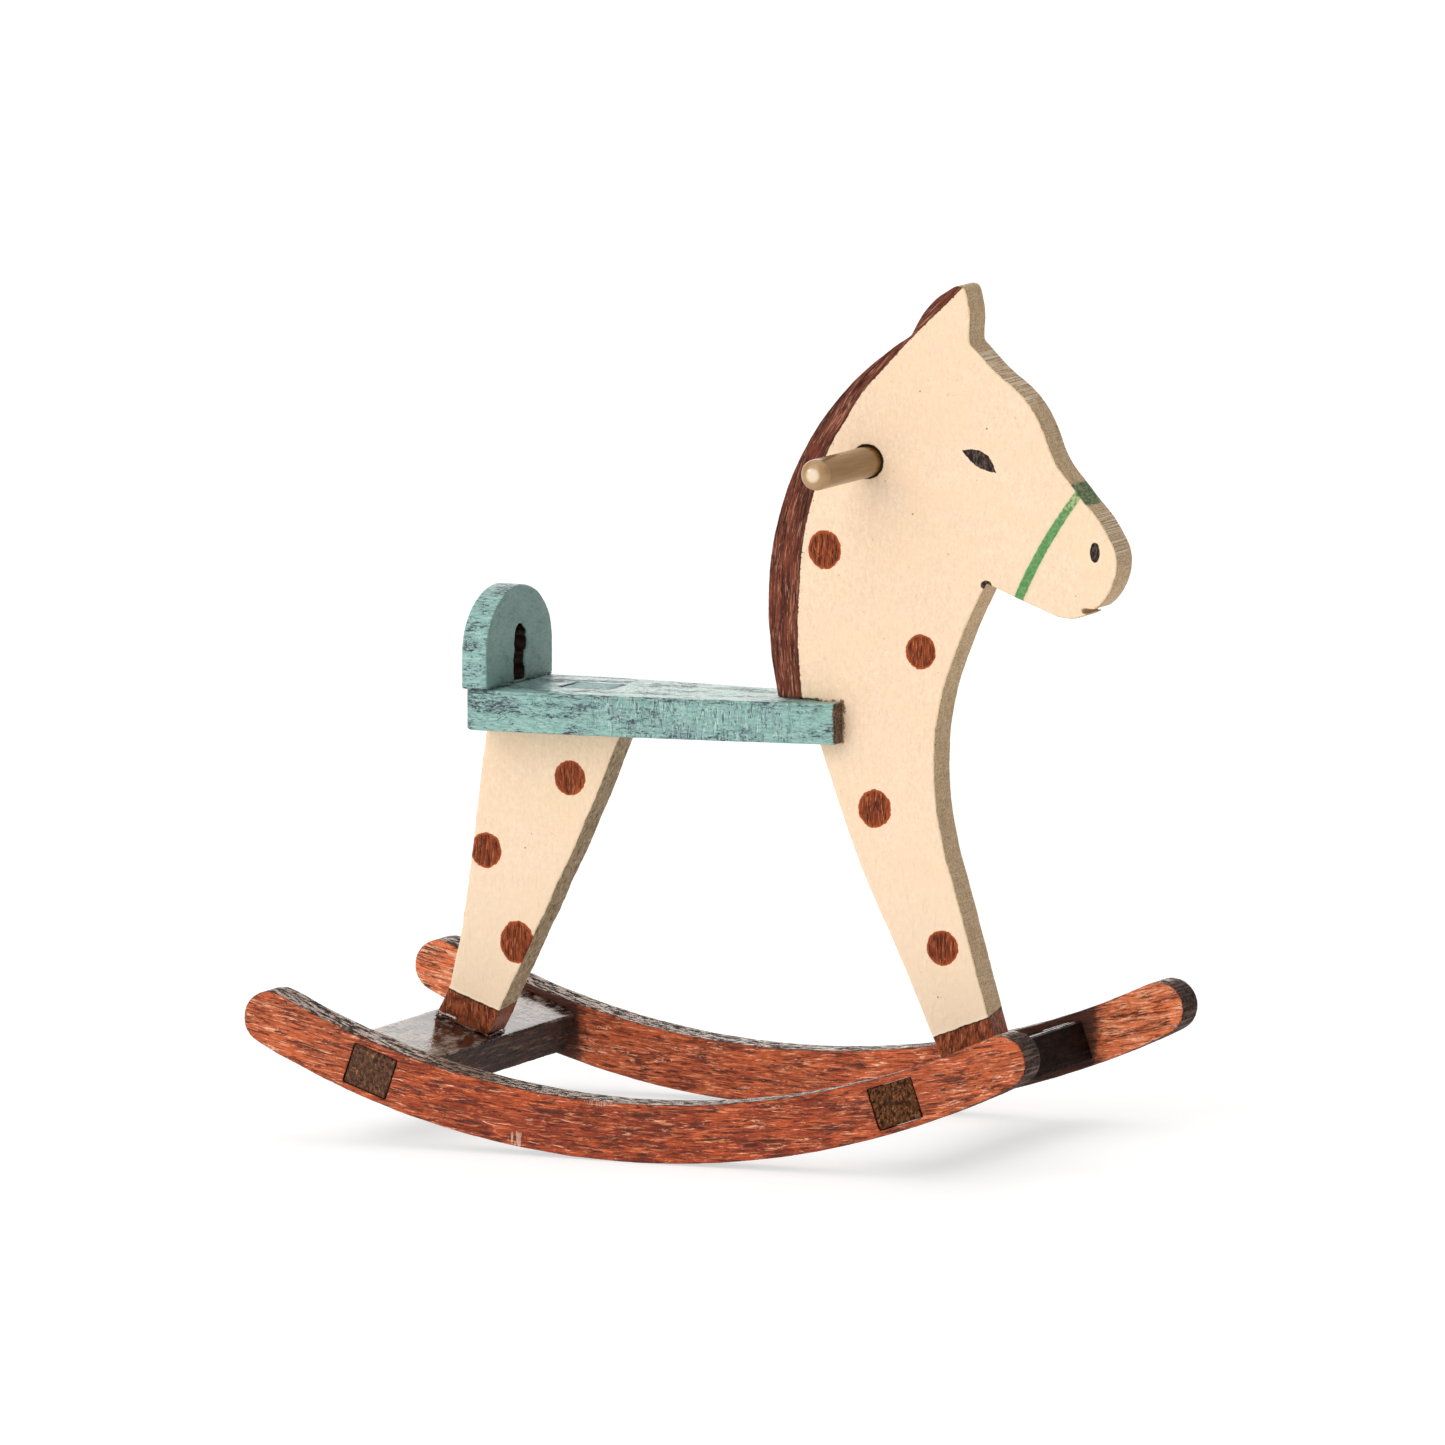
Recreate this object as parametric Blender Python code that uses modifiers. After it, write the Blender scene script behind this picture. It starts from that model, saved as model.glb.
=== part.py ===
"""A small rocking horse cut from flat painted boards, for a doll.

A profile board with the head, neck and front legs and a second board with the rear
legs stand on two crossbars, which are tenoned through a pair of curved rockers. A
seat laps the neck board and carries an arched backrest, and a round handle passes
through the neck. X points forwards, Y to the horse's left and Z up; the floor is
Z = 0. Nothing moves inside the horse: it rocks as one body.
"""

import math

import bmesh
import bpy
from mathutils import Matrix, Vector

MM = 0.001

# Stock and fits
BOARD = 5.3 * MM
BACKREST_THICK = 3.5 * MM
GAP = 0.1 * MM
ARRIS = 0.25 * MM
EASED_ANGLE = math.radians(50.0)

# The whole horse is moved back by this much, so that its box is centred on the origin.
CENTRE_SHIFT = -0.6 * MM

# Rockers: a band along an arc, a little slimmer at its round ends
ROCKER_ARC_RADIUS = 113.0 * MM
ROCKER_DEPTH = 7.5 * MM
ROCKER_END_DEPTH = 7.0 * MM
ROCKER_END_X = 50.3 * MM
ROCKER_ARC_SEGMENTS = 31
ROCKER_END_SEGMENTS = 12
HALF_TRACK = 29.0 * MM

# Crossbars: boards tangent to the rockers, shouldered down to through-tenons
CROSSBAR_TILT = math.radians(19.0)
CROSSBAR_X = 36.1 * MM
CROSSBAR_Z = 9.6 * MM
CROSSBAR_WIDTH = 9.8 * MM
TENON_WIDTH = 6.1 * MM
TENON_THICK = BOARD - GAP
STUB_WIDTH = 4.0 * MM
STUB_DEPTH = 3.0 * MM

# Seat
SEAT_TOP = 56.4 * MM
SEAT_REAR = -31.9 * MM
SEAT_FRONT = 17.9 * MM
SEAT_THICK = 5.2 * MM
SEAT_HALF_WIDTH = 9.7 * MM
SEAT_TIP_HALF_WIDTH = 5.3 * MM
SEAT_TAPER_START = -22.0 * MM
SEAT_TAPER_POWER = 1.35
SEAT_TAPER_STEPS = 12
SEAT_CORNER = 2.0 * MM
LAP_X = 14.4 * MM
REAR_TENON_X = (-21.6 * MM, -14.6 * MM)

# Backrest
BACKREST_FRONT = -28.15 * MM
BACKREST_HALF_WIDTH = 10.4 * MM
BACKREST_SPRING = 61.0 * MM
BACKREST_TOP = 69.0 * MM
BACKREST_ARCH_SEGMENTS = 24
TAIL_SLOT_WIDTH = 3.8 * MM
TAIL_SLOT_TOP = 64.1 * MM
TAIL_SLOT_DEPTH = 2.3 * MM
PIN_DIAMETER = 1.5 * MM
PIN_REACH = 3.0 * MM
PIN_Y = 6.0 * MM

# Handle
HANDLE_DIAMETER = 4.0 * MM
HANDLE_LENGTH = 40.0 * MM
HANDLE_X = 21.0 * MM
HANDLE_Z = 87.1 * MM
HANDLE_END_ROUND = 0.9 * MM

# Mouth: one narrow saw cut
MOUTH_X = 52.6 * MM
MOUTH_Z = 69.4 * MM
MOUTH_LENGTH = 4.2 * MM
MOUTH_HEIGHT = 0.6 * MM
MOUTH_SLOPE = math.radians(4.0)

# Outline points of the boards in millimetres, (x, z, smooth)
HEAD_AND_CHEST = (
    (34.0, 109.9, True),
    (34.8, 108.6, True),
    (35.1, 102.8, False),
    (38.3, 99.6, True),
    (42.7, 96.0, True),
    (45.1, 92.2, True),
    (46.6, 88.5, True),
    (49.4, 84.9, True),
    (53.8, 79.6, True),
    (55.2, 76.0, True),
    (54.2, 72.0, True),
    (51.7, 69.5, True),
    (48.8, 68.4, True),
    (43.7, 69.9, True),
    (37.4, 72.4, False),
    (33.6, 64.2, True),
    (31.0, 56.0, True),
    (30.4, 48.0, True),
    (31.1, 41.0, True),
    (33.8, 31.2, True),
)
FRONT_LEG_FOOT_X = (31.6, 38.9)
FRONT_LEG_REAR_EDGE = (
    (26.1, 23.3, True),
    (20.2, 35.7, True),
)
MANE = (
    (8.8, 56.4, False),
    (7.7, 63.4, True),
    (7.5, 70.6, True),
    (8.6, 78.6, True),
    (12.0, 87.6, True),
    (17.5, 95.5, True),
    (24.0, 101.4, True),
    (27.0, 103.4, False),
    (29.0, 106.7, True),
    (31.9, 109.2, True),
)
REAR_LEG_TOP_X = (-31.7, -12.7)
REAR_LEG_FRONT_EDGE = (
    (-18.2, 38.2, True),
    (-23.4, 27.4, True),
)
REAR_LEG_FOOT_X = (-38.9, -31.5)
REAR_LEG_BACK_EDGE = ((-36.9, 17.6, True),)

# Paints and stains: base colour, roughness
CREAM = ((0.96, 0.80, 0.58), 0.55)
STAIN_RED = ((0.37, 0.09, 0.04), 0.45)
STAIN_DARK = ((0.07, 0.035, 0.025), 0.35)
TEAL = ((0.25, 0.46, 0.41), 0.45)
BARE_WOOD = ((0.42, 0.28, 0.17), 0.4)


def clear_scene():
    """Remove every object that the file opened with."""
    for found in list(bpy.data.objects):
        bpy.data.objects.remove(found, do_unlink=True)


def new_collection(name):
    """A collection linked to the scene."""
    made = bpy.data.collections.new(name)
    bpy.context.scene.collection.children.link(made)
    return made


def paint(name, finish):
    """A Principled material from a colour and a roughness."""
    colour, roughness = finish
    material = bpy.data.materials.new(name)
    material.use_nodes = True
    shader = material.node_tree.nodes["Principled BSDF"]
    shader.inputs["Base Color"].default_value = (*colour, 1.0)
    shader.inputs["Roughness"].default_value = roughness
    shader.inputs["Metallic"].default_value = 0.0
    return material


def link(shape, collection):
    """Put an object in one collection."""
    collection.objects.link(shape)
    return shape


def as_mesh_object(curve_object, collection):
    """Turn a filled curve into a closed mesh object in the same place."""
    link(curve_object, collection)
    bpy.context.view_layer.update()
    graph = bpy.context.evaluated_depsgraph_get()
    mesh = bpy.data.meshes.new_from_object(curve_object.evaluated_get(graph))
    body = bmesh.new()
    body.from_mesh(mesh)
    bmesh.ops.remove_doubles(body, verts=body.verts, dist=0.001 * MM)
    bmesh.ops.recalc_face_normals(body, faces=body.faces)
    body.to_mesh(mesh)
    body.free()
    name = curve_object.name
    place = curve_object.matrix_world.copy()
    bpy.data.objects.remove(curve_object, do_unlink=True)
    made = bpy.data.objects.new(name, mesh)
    made.matrix_world = place
    return link(made, collection)


def outline_curve(name, splines, thickness, smooth_steps=4):
    """A filled 2D curve; each point is (x, y, smooth) in metres."""
    curve = bpy.data.curves.new(name, "CURVE")
    curve.dimensions = "2D"
    curve.fill_mode = "BOTH"
    curve.extrude = thickness / 2
    curve.resolution_u = smooth_steps
    for points in splines:
        spline = curve.splines.new("BEZIER")
        spline.use_cyclic_u = True
        spline.bezier_points.add(len(points) - 1)
        for knot, (x, y, smooth) in zip(spline.bezier_points, points):
            knot.co = (x, y, 0.0)
            kind = "AUTO" if smooth else "VECTOR"
            knot.handle_left_type = kind
            knot.handle_right_type = kind
    return bpy.data.objects.new(name, curve)


def polygon_curve(name, points, thickness):
    """A filled 2D curve through straight-sided (x, y) points in metres."""
    curve = bpy.data.curves.new(name, "CURVE")
    curve.dimensions = "2D"
    curve.fill_mode = "BOTH"
    curve.extrude = thickness / 2
    spline = curve.splines.new("POLY")
    spline.use_cyclic_u = True
    spline.points.add(len(points) - 1)
    for knot, (x, y) in zip(spline.points, points):
        knot.co = (x, y, 0.0, 1.0)
    return bpy.data.objects.new(name, curve)


def stand_across_y(shape, y=0.0):
    """Turn a flat outline so that its plane is X-Z and it faces along Y."""
    shape.rotation_euler = (math.pi / 2, 0.0, 0.0)
    shape.location = (0.0, y, 0.0)
    return shape


def stand_across_x(shape, x):
    """Turn a flat outline so that its plane is Y-Z and it faces along X."""
    shape.rotation_euler = (math.pi / 2, 0.0, math.pi / 2)
    shape.location = (x, 0.0, 0.0)
    return shape


def box(name, size, collection):
    """A box primitive of the given size, centred on its own origin."""
    mesh = bpy.data.meshes.new(name)
    body = bmesh.new()
    bmesh.ops.create_cube(body, size=1.0)
    bmesh.ops.scale(body, vec=size, verts=body.verts)
    body.to_mesh(mesh)
    body.free()
    return link(bpy.data.objects.new(name, mesh), collection)


def rod(name, diameter, length, sides, collection):
    """A round rod along its own Z, centred on its own origin."""
    mesh = bpy.data.meshes.new(name)
    body = bmesh.new()
    bmesh.ops.create_cone(
        body,
        cap_ends=True,
        segments=sides,
        radius1=diameter / 2,
        radius2=diameter / 2,
        depth=length,
    )
    body.to_mesh(mesh)
    body.free()
    return link(bpy.data.objects.new(name, mesh), collection)


def ease_edges(shape):
    """Take the sharp arris off a board's outer edges, leaving its inner corners square."""
    body = bmesh.new()
    body.from_mesh(shape.data)
    weight = body.edges.layers.float.new("bevel_weight_edge")
    for edge in body.edges:
        if edge.calc_face_angle_signed(0.0) > EASED_ANGLE:
            edge[weight] = 1.0
    body.to_mesh(shape.data)
    body.free()
    bevel = shape.modifiers.new("Eased edges", "BEVEL")
    bevel.width = ARRIS
    bevel.segments = 1
    bevel.limit_method = "WEIGHT"
    return shape


def combine(shape, guide, name, operation):
    """Join another shape on or cut it out, leaving that one as a wire guide."""
    guide.hide_render = True
    guide.display_type = "WIRE"
    boolean = shape.modifiers.new(name, "BOOLEAN")
    boolean.operation = operation
    boolean.solver = "EXACT"
    boolean.object = guide


def cut(shape, cutter, name):
    """Cut one shape out of another."""
    combine(shape, cutter, name, "DIFFERENCE")


def finish(shape, material):
    """Give a shape its material."""
    shape.data.materials.append(material)
    return shape


def crossbar_top(x):
    """Height of a crossbar's upper face at horse X, for either end."""
    rise = (abs(x) - CROSSBAR_X) * math.tan(CROSSBAR_TILT)
    return CROSSBAR_Z + rise + BOARD / 2 / math.cos(CROSSBAR_TILT)


def foot_points(near_x, far_x):
    """Outline of a foot that stands on a crossbar, with a stub tenon under it.

    The points run from near_x to far_x along the crossbar's upper face.
    """
    side = math.copysign(1.0, near_x)
    along = Vector((math.cos(CROSSBAR_TILT), side * math.sin(CROSSBAR_TILT)))
    along *= math.copysign(1.0, far_x - near_x)
    down = Vector((side * math.sin(CROSSBAR_TILT), -math.cos(CROSSBAR_TILT)))
    start = Vector((near_x, crossbar_top(near_x))) - down * GAP
    end = Vector((far_x, crossbar_top(far_x))) - down * GAP
    middle = Vector((side * CROSSBAR_X, CROSSBAR_Z)) - down * (BOARD / 2 + GAP)
    half = along * STUB_WIDTH / 2
    drop = down * (STUB_DEPTH + GAP)
    corners = (start, middle - half, middle - half + drop, middle + half + drop, middle + half, end)
    return [(corner.x, corner.y, False) for corner in corners]


def scaled(points):
    """Outline points from millimetres to metres."""
    return [(x * MM, z * MM, smooth) for x, z, smooth in points]


def make_horse_board(parts, cutters, material):
    """Head, neck, body and front legs in one board."""
    foot = foot_points(FRONT_LEG_FOOT_X[1] * MM, FRONT_LEG_FOOT_X[0] * MM)
    lap = [
        (LAP_X + GAP, SEAT_TOP - SEAT_THICK - 2 * GAP, False),
        (LAP_X + GAP, SEAT_TOP + GAP, False),
    ]
    mane = scaled(MANE)
    mane[0] = (MANE[0][0] * MM, SEAT_TOP + GAP, False)
    outline = scaled(HEAD_AND_CHEST) + foot + scaled(FRONT_LEG_REAR_EDGE) + lap + mane
    board = outline_curve("horse_board", [outline], BOARD)
    board = as_mesh_object(stand_across_y(board), parts)
    ease_edges(board)

    hole = rod("handle_hole", HANDLE_DIAMETER + 2 * GAP, 3 * BOARD, 32, cutters)
    hole.rotation_euler = (math.pi / 2, 0.0, 0.0)
    hole.location = (HANDLE_X, 0.0, HANDLE_Z)
    cut(board, hole, "Handle hole")

    mouth = box("mouth_cut", (MOUTH_LENGTH, 3 * BOARD, MOUTH_HEIGHT), cutters)
    mouth.rotation_euler = (0.0, MOUTH_SLOPE, 0.0)
    mouth.location = (MOUTH_X, 0.0, MOUTH_Z)
    cut(board, mouth, "Mouth")
    return finish(board, material)


def make_rear_leg(parts, material):
    """Rear legs in one board, tenoned through the seat and into its crossbar."""
    shoulder = SEAT_TOP - SEAT_THICK - GAP
    front_x = REAR_LEG_TOP_X[1] * MM
    rear_x = REAR_LEG_TOP_X[0] * MM
    top = [
        (rear_x, shoulder, False),
        (REAR_TENON_X[0] + GAP, shoulder, False),
        (REAR_TENON_X[0] + GAP, SEAT_TOP, False),
        (REAR_TENON_X[1] - GAP, SEAT_TOP, False),
        (REAR_TENON_X[1] - GAP, shoulder, False),
        (front_x, shoulder, False),
    ]
    foot = foot_points(REAR_LEG_FOOT_X[1] * MM, REAR_LEG_FOOT_X[0] * MM)
    outline = top + scaled(REAR_LEG_FRONT_EDGE) + foot + scaled(REAR_LEG_BACK_EDGE)
    board = outline_curve("rear_leg", [outline], BOARD)
    board = as_mesh_object(stand_across_y(board), parts)
    return finish(ease_edges(board), material)


def rocker_edge(turn, side):
    """A point on the band's lower (side 1) or upper (side -1) edge, at an angle from its middle."""
    end_turn = math.asin(ROCKER_END_X / ROCKER_ARC_RADIUS)
    slimming = (ROCKER_DEPTH - ROCKER_END_DEPTH) / 2 * (turn / end_turn) ** 2
    radius = ROCKER_ARC_RADIUS + side * (ROCKER_DEPTH / 2 - slimming)
    return radius * math.sin(turn), -radius * math.cos(turn)


def rocker_outline():
    """The lower edge, the front end, the upper edge and the rear end, resting on a level facet."""
    end_turn = math.asin(ROCKER_END_X / ROCKER_ARC_RADIUS)
    floor = rocker_edge(end_turn / ROCKER_ARC_SEGMENTS, 1.0)[1]
    points = []
    for side in (1.0, -1.0):
        for index in range(ROCKER_ARC_SEGMENTS + 1):
            turn = side * end_turn * (2.0 * index / ROCKER_ARC_SEGMENTS - 1.0)
            points.append(rocker_edge(turn, side))
        tip = side * end_turn
        centre_x = ROCKER_ARC_RADIUS * math.sin(tip)
        centre_z = -ROCKER_ARC_RADIUS * math.cos(tip)
        for index in range(1, ROCKER_END_SEGMENTS):
            turn = tip - side * math.pi / 2 + math.pi * index / ROCKER_END_SEGMENTS
            x = centre_x + ROCKER_END_DEPTH / 2 * math.cos(turn)
            points.append((x, centre_z + ROCKER_END_DEPTH / 2 * math.sin(turn)))
    return [(x, z - floor) for x, z in points]


def make_rocker(side_name, side, parts, cutters, material):
    """One curved runner with a through-mortise near each end."""
    y = side * (HALF_TRACK - BOARD / 2)
    runner = polygon_curve(f"rocker_{side_name}", rocker_outline(), BOARD)
    runner = as_mesh_object(stand_across_y(runner, y), parts)
    ease_edges(runner)
    for end_name, end in (("front", 1.0), ("rear", -1.0)):
        size = (TENON_WIDTH + 2 * GAP, 3 * BOARD, TENON_THICK + 2 * GAP)
        mortise = box(f"{side_name}_{end_name}_mortise", size, cutters)
        mortise.rotation_euler = (0.0, -end * CROSSBAR_TILT, 0.0)
        mortise.location = (end * CROSSBAR_X, y, CROSSBAR_Z)
        cut(runner, mortise, f"{end_name} mortise")
    return finish(runner, material)


def make_crossbar(end_name, end, parts, cutters, material):
    """A crossbar with a tenon at each end and a blind mortise for a leg."""
    shoulder = HALF_TRACK - BOARD - GAP
    bar = box(f"crossbar_{end_name}", (CROSSBAR_WIDTH, 2 * shoulder, BOARD), parts)
    bar.rotation_euler = (0.0, -end * CROSSBAR_TILT, 0.0)
    bar.location = (end * CROSSBAR_X, 0.0, CROSSBAR_Z)
    ease_edges(bar)

    tenons = box(f"{end_name}_tenons", (TENON_WIDTH, 2 * HALF_TRACK, TENON_THICK), cutters)
    tenons.rotation_euler = bar.rotation_euler
    tenons.location = bar.location
    combine(bar, tenons, "Tenons", "UNION")

    depth = STUB_DEPTH + GAP
    size = (STUB_WIDTH + 2 * GAP, BOARD + 2 * GAP, 2 * depth)
    mortise = box(f"{end_name}_leg_mortise", size, cutters)
    mortise.rotation_euler = bar.rotation_euler
    lift = BOARD / 2
    mortise.location = (
        end * (CROSSBAR_X - lift * math.sin(CROSSBAR_TILT)),
        0.0,
        CROSSBAR_Z + lift * math.cos(CROSSBAR_TILT),
    )
    cut(bar, mortise, "Leg mortise")
    return finish(bar, material)


def seat_half_width(x):
    """Half the seat's width, which narrows towards the neck."""
    along = max(0.0, (x - SEAT_TAPER_START) / (SEAT_FRONT - SEAT_TAPER_START))
    narrowing = SEAT_HALF_WIDTH - SEAT_TIP_HALF_WIDTH
    return SEAT_HALF_WIDTH - narrowing * along**SEAT_TAPER_POWER


def seat_edge():
    """The seat's edge on the +Y side, from the rear corner to the slot."""
    points = []
    for index in range(7):
        turn = math.pi / 2 * index / 6
        x = SEAT_REAR + SEAT_CORNER * (1.0 - math.cos(turn))
        points.append((x, SEAT_HALF_WIDTH - SEAT_CORNER * (1.0 - math.sin(turn))))
    for index in range(SEAT_TAPER_STEPS + 1):
        x = SEAT_TAPER_START + (SEAT_FRONT - SEAT_TAPER_START) * index / SEAT_TAPER_STEPS
        points.append((x, seat_half_width(x)))
    slot = BOARD / 2 + GAP
    points.append((SEAT_FRONT, slot))
    points.append((LAP_X, slot))
    return points


def make_seat(parts, cutters, material):
    """The seat, slotted at the front for the neck board and mortised for the rear leg."""
    edge = seat_edge()
    points = edge + [(x, -y) for x, y in reversed(edge)]
    seat = polygon_curve("seat", points, SEAT_THICK)
    seat.location = (0.0, 0.0, SEAT_TOP - SEAT_THICK / 2)
    seat = as_mesh_object(seat, parts)
    ease_edges(seat)

    length = REAR_TENON_X[1] - REAR_TENON_X[0]
    mortise = box("seat_mortise", (length, BOARD + 2 * GAP, 3 * SEAT_THICK), cutters)
    mortise.location = (sum(REAR_TENON_X) / 2, 0.0, SEAT_TOP - SEAT_THICK / 2)
    cut(seat, mortise, "Rear leg mortise")
    for side_name, side in (("left", 1.0), ("right", -1.0)):
        cut(seat, pin_hole(f"seat_{side_name}_pin_hole", side, cutters), f"{side_name} pin hole")
    return finish(seat, material)


def backrest_centre_x():
    """Middle of the backrest's thickness."""
    return BACKREST_FRONT - BACKREST_THICK / 2


def pin_hole(name, side, cutters):
    """A blind hole for half of a backrest pin and a little more at each end."""
    hole = rod(name, PIN_DIAMETER + 2 * GAP, 2 * (PIN_REACH + 2 * GAP), 20, cutters)
    hole.location = (backrest_centre_x(), side * PIN_Y, SEAT_TOP)
    return hole


def arch(half_width, bottom, spring, top, segments):
    """An upright outline with straight sides and an elliptical head, as (y, z) points."""
    points = [(-half_width, bottom), (half_width, bottom)]
    for index in range(segments + 1):
        turn = math.pi * index / segments
        points.append((half_width * math.cos(turn), spring + (top - spring) * math.sin(turn)))
    return points


def make_backrest(parts, cutters, material):
    """The arched backrest with its tail slot, standing on the seat."""
    bottom = SEAT_TOP + GAP
    points = arch(
        BACKREST_HALF_WIDTH,
        bottom,
        BACKREST_SPRING,
        BACKREST_TOP,
        BACKREST_ARCH_SEGMENTS,
    )
    board = polygon_curve("backrest", points, BACKREST_THICK)
    board = as_mesh_object(stand_across_x(board, backrest_centre_x()), parts)
    ease_edges(board)

    half_slot = TAIL_SLOT_WIDTH / 2
    slot_points = arch(half_slot, bottom - BOARD, TAIL_SLOT_TOP - half_slot, TAIL_SLOT_TOP, 12)
    slot = polygon_curve("tail_slot", slot_points, 2 * TAIL_SLOT_DEPTH)
    slot = as_mesh_object(stand_across_x(slot, BACKREST_FRONT), cutters)
    cut(board, slot, "Tail slot")
    for side_name, side in (("left", 1.0), ("right", -1.0)):
        cut(board, pin_hole(f"back_{side_name}_pin_hole", side, cutters), f"{side_name} pin hole")
    return finish(board, material)


def make_backrest_pin(side_name, side, parts, material):
    """A hidden dowel pin between the seat and the backrest."""
    pin = rod(f"backrest_pin_{side_name}", PIN_DIAMETER, 2 * PIN_REACH, 20, parts)
    pin.location = (backrest_centre_x(), side * PIN_Y, SEAT_TOP)
    pin.data.shade_smooth()
    pin.data.set_sharp_from_angle(angle=math.radians(40.0))
    return finish(pin, material)


def make_handle(parts, material):
    """The round handle through the neck, with rounded ends."""
    handle = rod("handle_dowel", HANDLE_DIAMETER, HANDLE_LENGTH, 32, parts)
    handle.rotation_euler = (math.pi / 2, 0.0, 0.0)
    handle.location = (HANDLE_X, 0.0, HANDLE_Z)
    bevel = handle.modifiers.new("Rounded ends", "BEVEL")
    bevel.width = HANDLE_END_ROUND
    bevel.segments = 3
    bevel.limit_method = "ANGLE"
    bevel.angle_limit = math.radians(50.0)
    handle.data.shade_smooth()
    handle.data.set_sharp_from_angle(angle=math.radians(40.0))
    return finish(handle, material)


def main():
    clear_scene()
    parts = new_collection("rocking_horse")
    cutters = new_collection("cutters")
    made = [
        make_horse_board(parts, cutters, paint("horse_board_paint", CREAM)),
        make_rear_leg(parts, paint("rear_leg_paint", CREAM)),
        make_seat(parts, cutters, paint("seat_paint", TEAL)),
        make_backrest(parts, cutters, paint("backrest_paint", TEAL)),
        make_handle(parts, paint("handle_wood", BARE_WOOD)),
    ]
    for side_name, side in (("left", 1.0), ("right", -1.0)):
        rocker_stain = paint(f"rocker_{side_name}_stain", STAIN_RED)
        made.append(make_rocker(side_name, side, parts, cutters, rocker_stain))
        pin_wood = paint(f"backrest_pin_{side_name}_wood", BARE_WOOD)
        made.append(make_backrest_pin(side_name, side, parts, pin_wood))
    for end_name, end in (("front", 1.0), ("rear", -1.0)):
        bar_stain = paint(f"crossbar_{end_name}_stain", STAIN_DARK)
        made.append(make_crossbar(end_name, end, parts, cutters, bar_stain))

    centre = bpy.data.objects.new("rocking_horse_centre", None)
    link(centre, parts)
    for shape in made + list(cutters.objects):
        shape.parent = centre
    centre.location = (CENTRE_SHIFT, 0.0, 0.0)


main()
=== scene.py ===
"""Looks of a small painted rocking horse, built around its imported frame.

Every board is rebuilt as one closed, finely meshed body on the outline of its own CAD
node, with worn arrises, saw ripples along the cut edges and slightly uneven faces.
Paints and stains are procedural and laid out in millimetres in the horse's own axes:
X forwards, Y to its left, Z up, with X = 0 half way between the rocker tips.
"""

import math
from functools import reduce

import bmesh
import bpy
import numpy as np
from mathutils import Matrix, Vector, kdtree
from mathutils.geometry import delaunay_2d_cdt


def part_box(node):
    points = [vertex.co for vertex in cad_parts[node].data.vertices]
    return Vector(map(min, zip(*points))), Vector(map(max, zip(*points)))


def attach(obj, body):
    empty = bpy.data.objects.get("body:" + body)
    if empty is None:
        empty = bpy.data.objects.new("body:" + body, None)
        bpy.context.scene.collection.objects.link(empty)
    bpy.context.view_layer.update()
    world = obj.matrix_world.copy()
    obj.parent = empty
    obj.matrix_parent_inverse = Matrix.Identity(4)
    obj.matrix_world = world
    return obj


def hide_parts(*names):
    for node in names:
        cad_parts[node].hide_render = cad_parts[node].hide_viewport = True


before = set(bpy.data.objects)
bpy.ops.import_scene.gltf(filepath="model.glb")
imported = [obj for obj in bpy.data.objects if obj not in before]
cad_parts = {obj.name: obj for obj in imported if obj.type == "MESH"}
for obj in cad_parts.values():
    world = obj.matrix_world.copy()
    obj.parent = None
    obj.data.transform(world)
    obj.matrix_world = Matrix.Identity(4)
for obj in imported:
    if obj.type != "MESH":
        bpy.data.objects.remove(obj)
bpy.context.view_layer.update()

MM = 0.001
# The paint layout is measured from the middle of the rockers, which lies this far from
# the centre of the whole horse's box.
LAYOUT_SHIFT = 0.6

# Board axes as rows u, v, w: u and v span the face, w runs through the thickness.
FACING_RIGHT = np.array([(1.0, 0.0, 0.0), (0.0, 0.0, 1.0), (0.0, -1.0, 0.0)])
FACING_UP = np.eye(3)
FACING_FRONT = np.array([(0.0, 1.0, 0.0), (0.0, 0.0, 1.0), (1.0, 0.0, 0.0)])
CROSSBAR_TILT = math.radians(19.0)

EDGE_STEP = 0.16
FACE_STEP = 0.55
EDGE_ROW_HEIGHT = 0.45
# How far the points of a face's lattice are shaken and how far they stay off the outline,
# both as parts of FACE_STEP
LATTICE_SHAKE = 0.22
LATTICE_CLEAR = 0.45
# Points tested against an outline at a time, to bound the memory
TEST_BATCH = 2000
WORN_RADIUS = 0.30
ARRIS_STEPS = 4
HOLE_ARRIS = 0.08
TENON_FROM_Z = 54.0
TENON_ARRIS = 0.05
TENON_CENTRE_X = -18.1
TENON_HALF_LENGTH = 3.5
TENON_HALF_WIDTH = 2.65

TAIL_SLOT_WIDTH = 3.8
TAIL_SLOT_TOP = 64.1
TAIL_SLOT_DEPTH = 2.3
FOOT_MORTISE_DEPTH = 3.1
DOWEL_SIDES = 96
DOME_DEPTH = 1.25
DOME_STEPS = 12
BEAD_STEP = 0.09
BEAD_SIDES = 12

# Paint layout, (x, z) in millimetres
MANE_LINE = (
    (12.2, 56.7), (11.8, 61.1), (11.6, 64.9), (11.8, 70.3), (12.3, 76.5), (13.5, 81.8), (16.2, 89.2),
    (18.1, 92.2), (20.4, 95.8), (23.8, 99.5), (27.3, 103.2), (30.8, 106.5), (34.2, 109.8),
)
MANE_SPAN = 120.0
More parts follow.
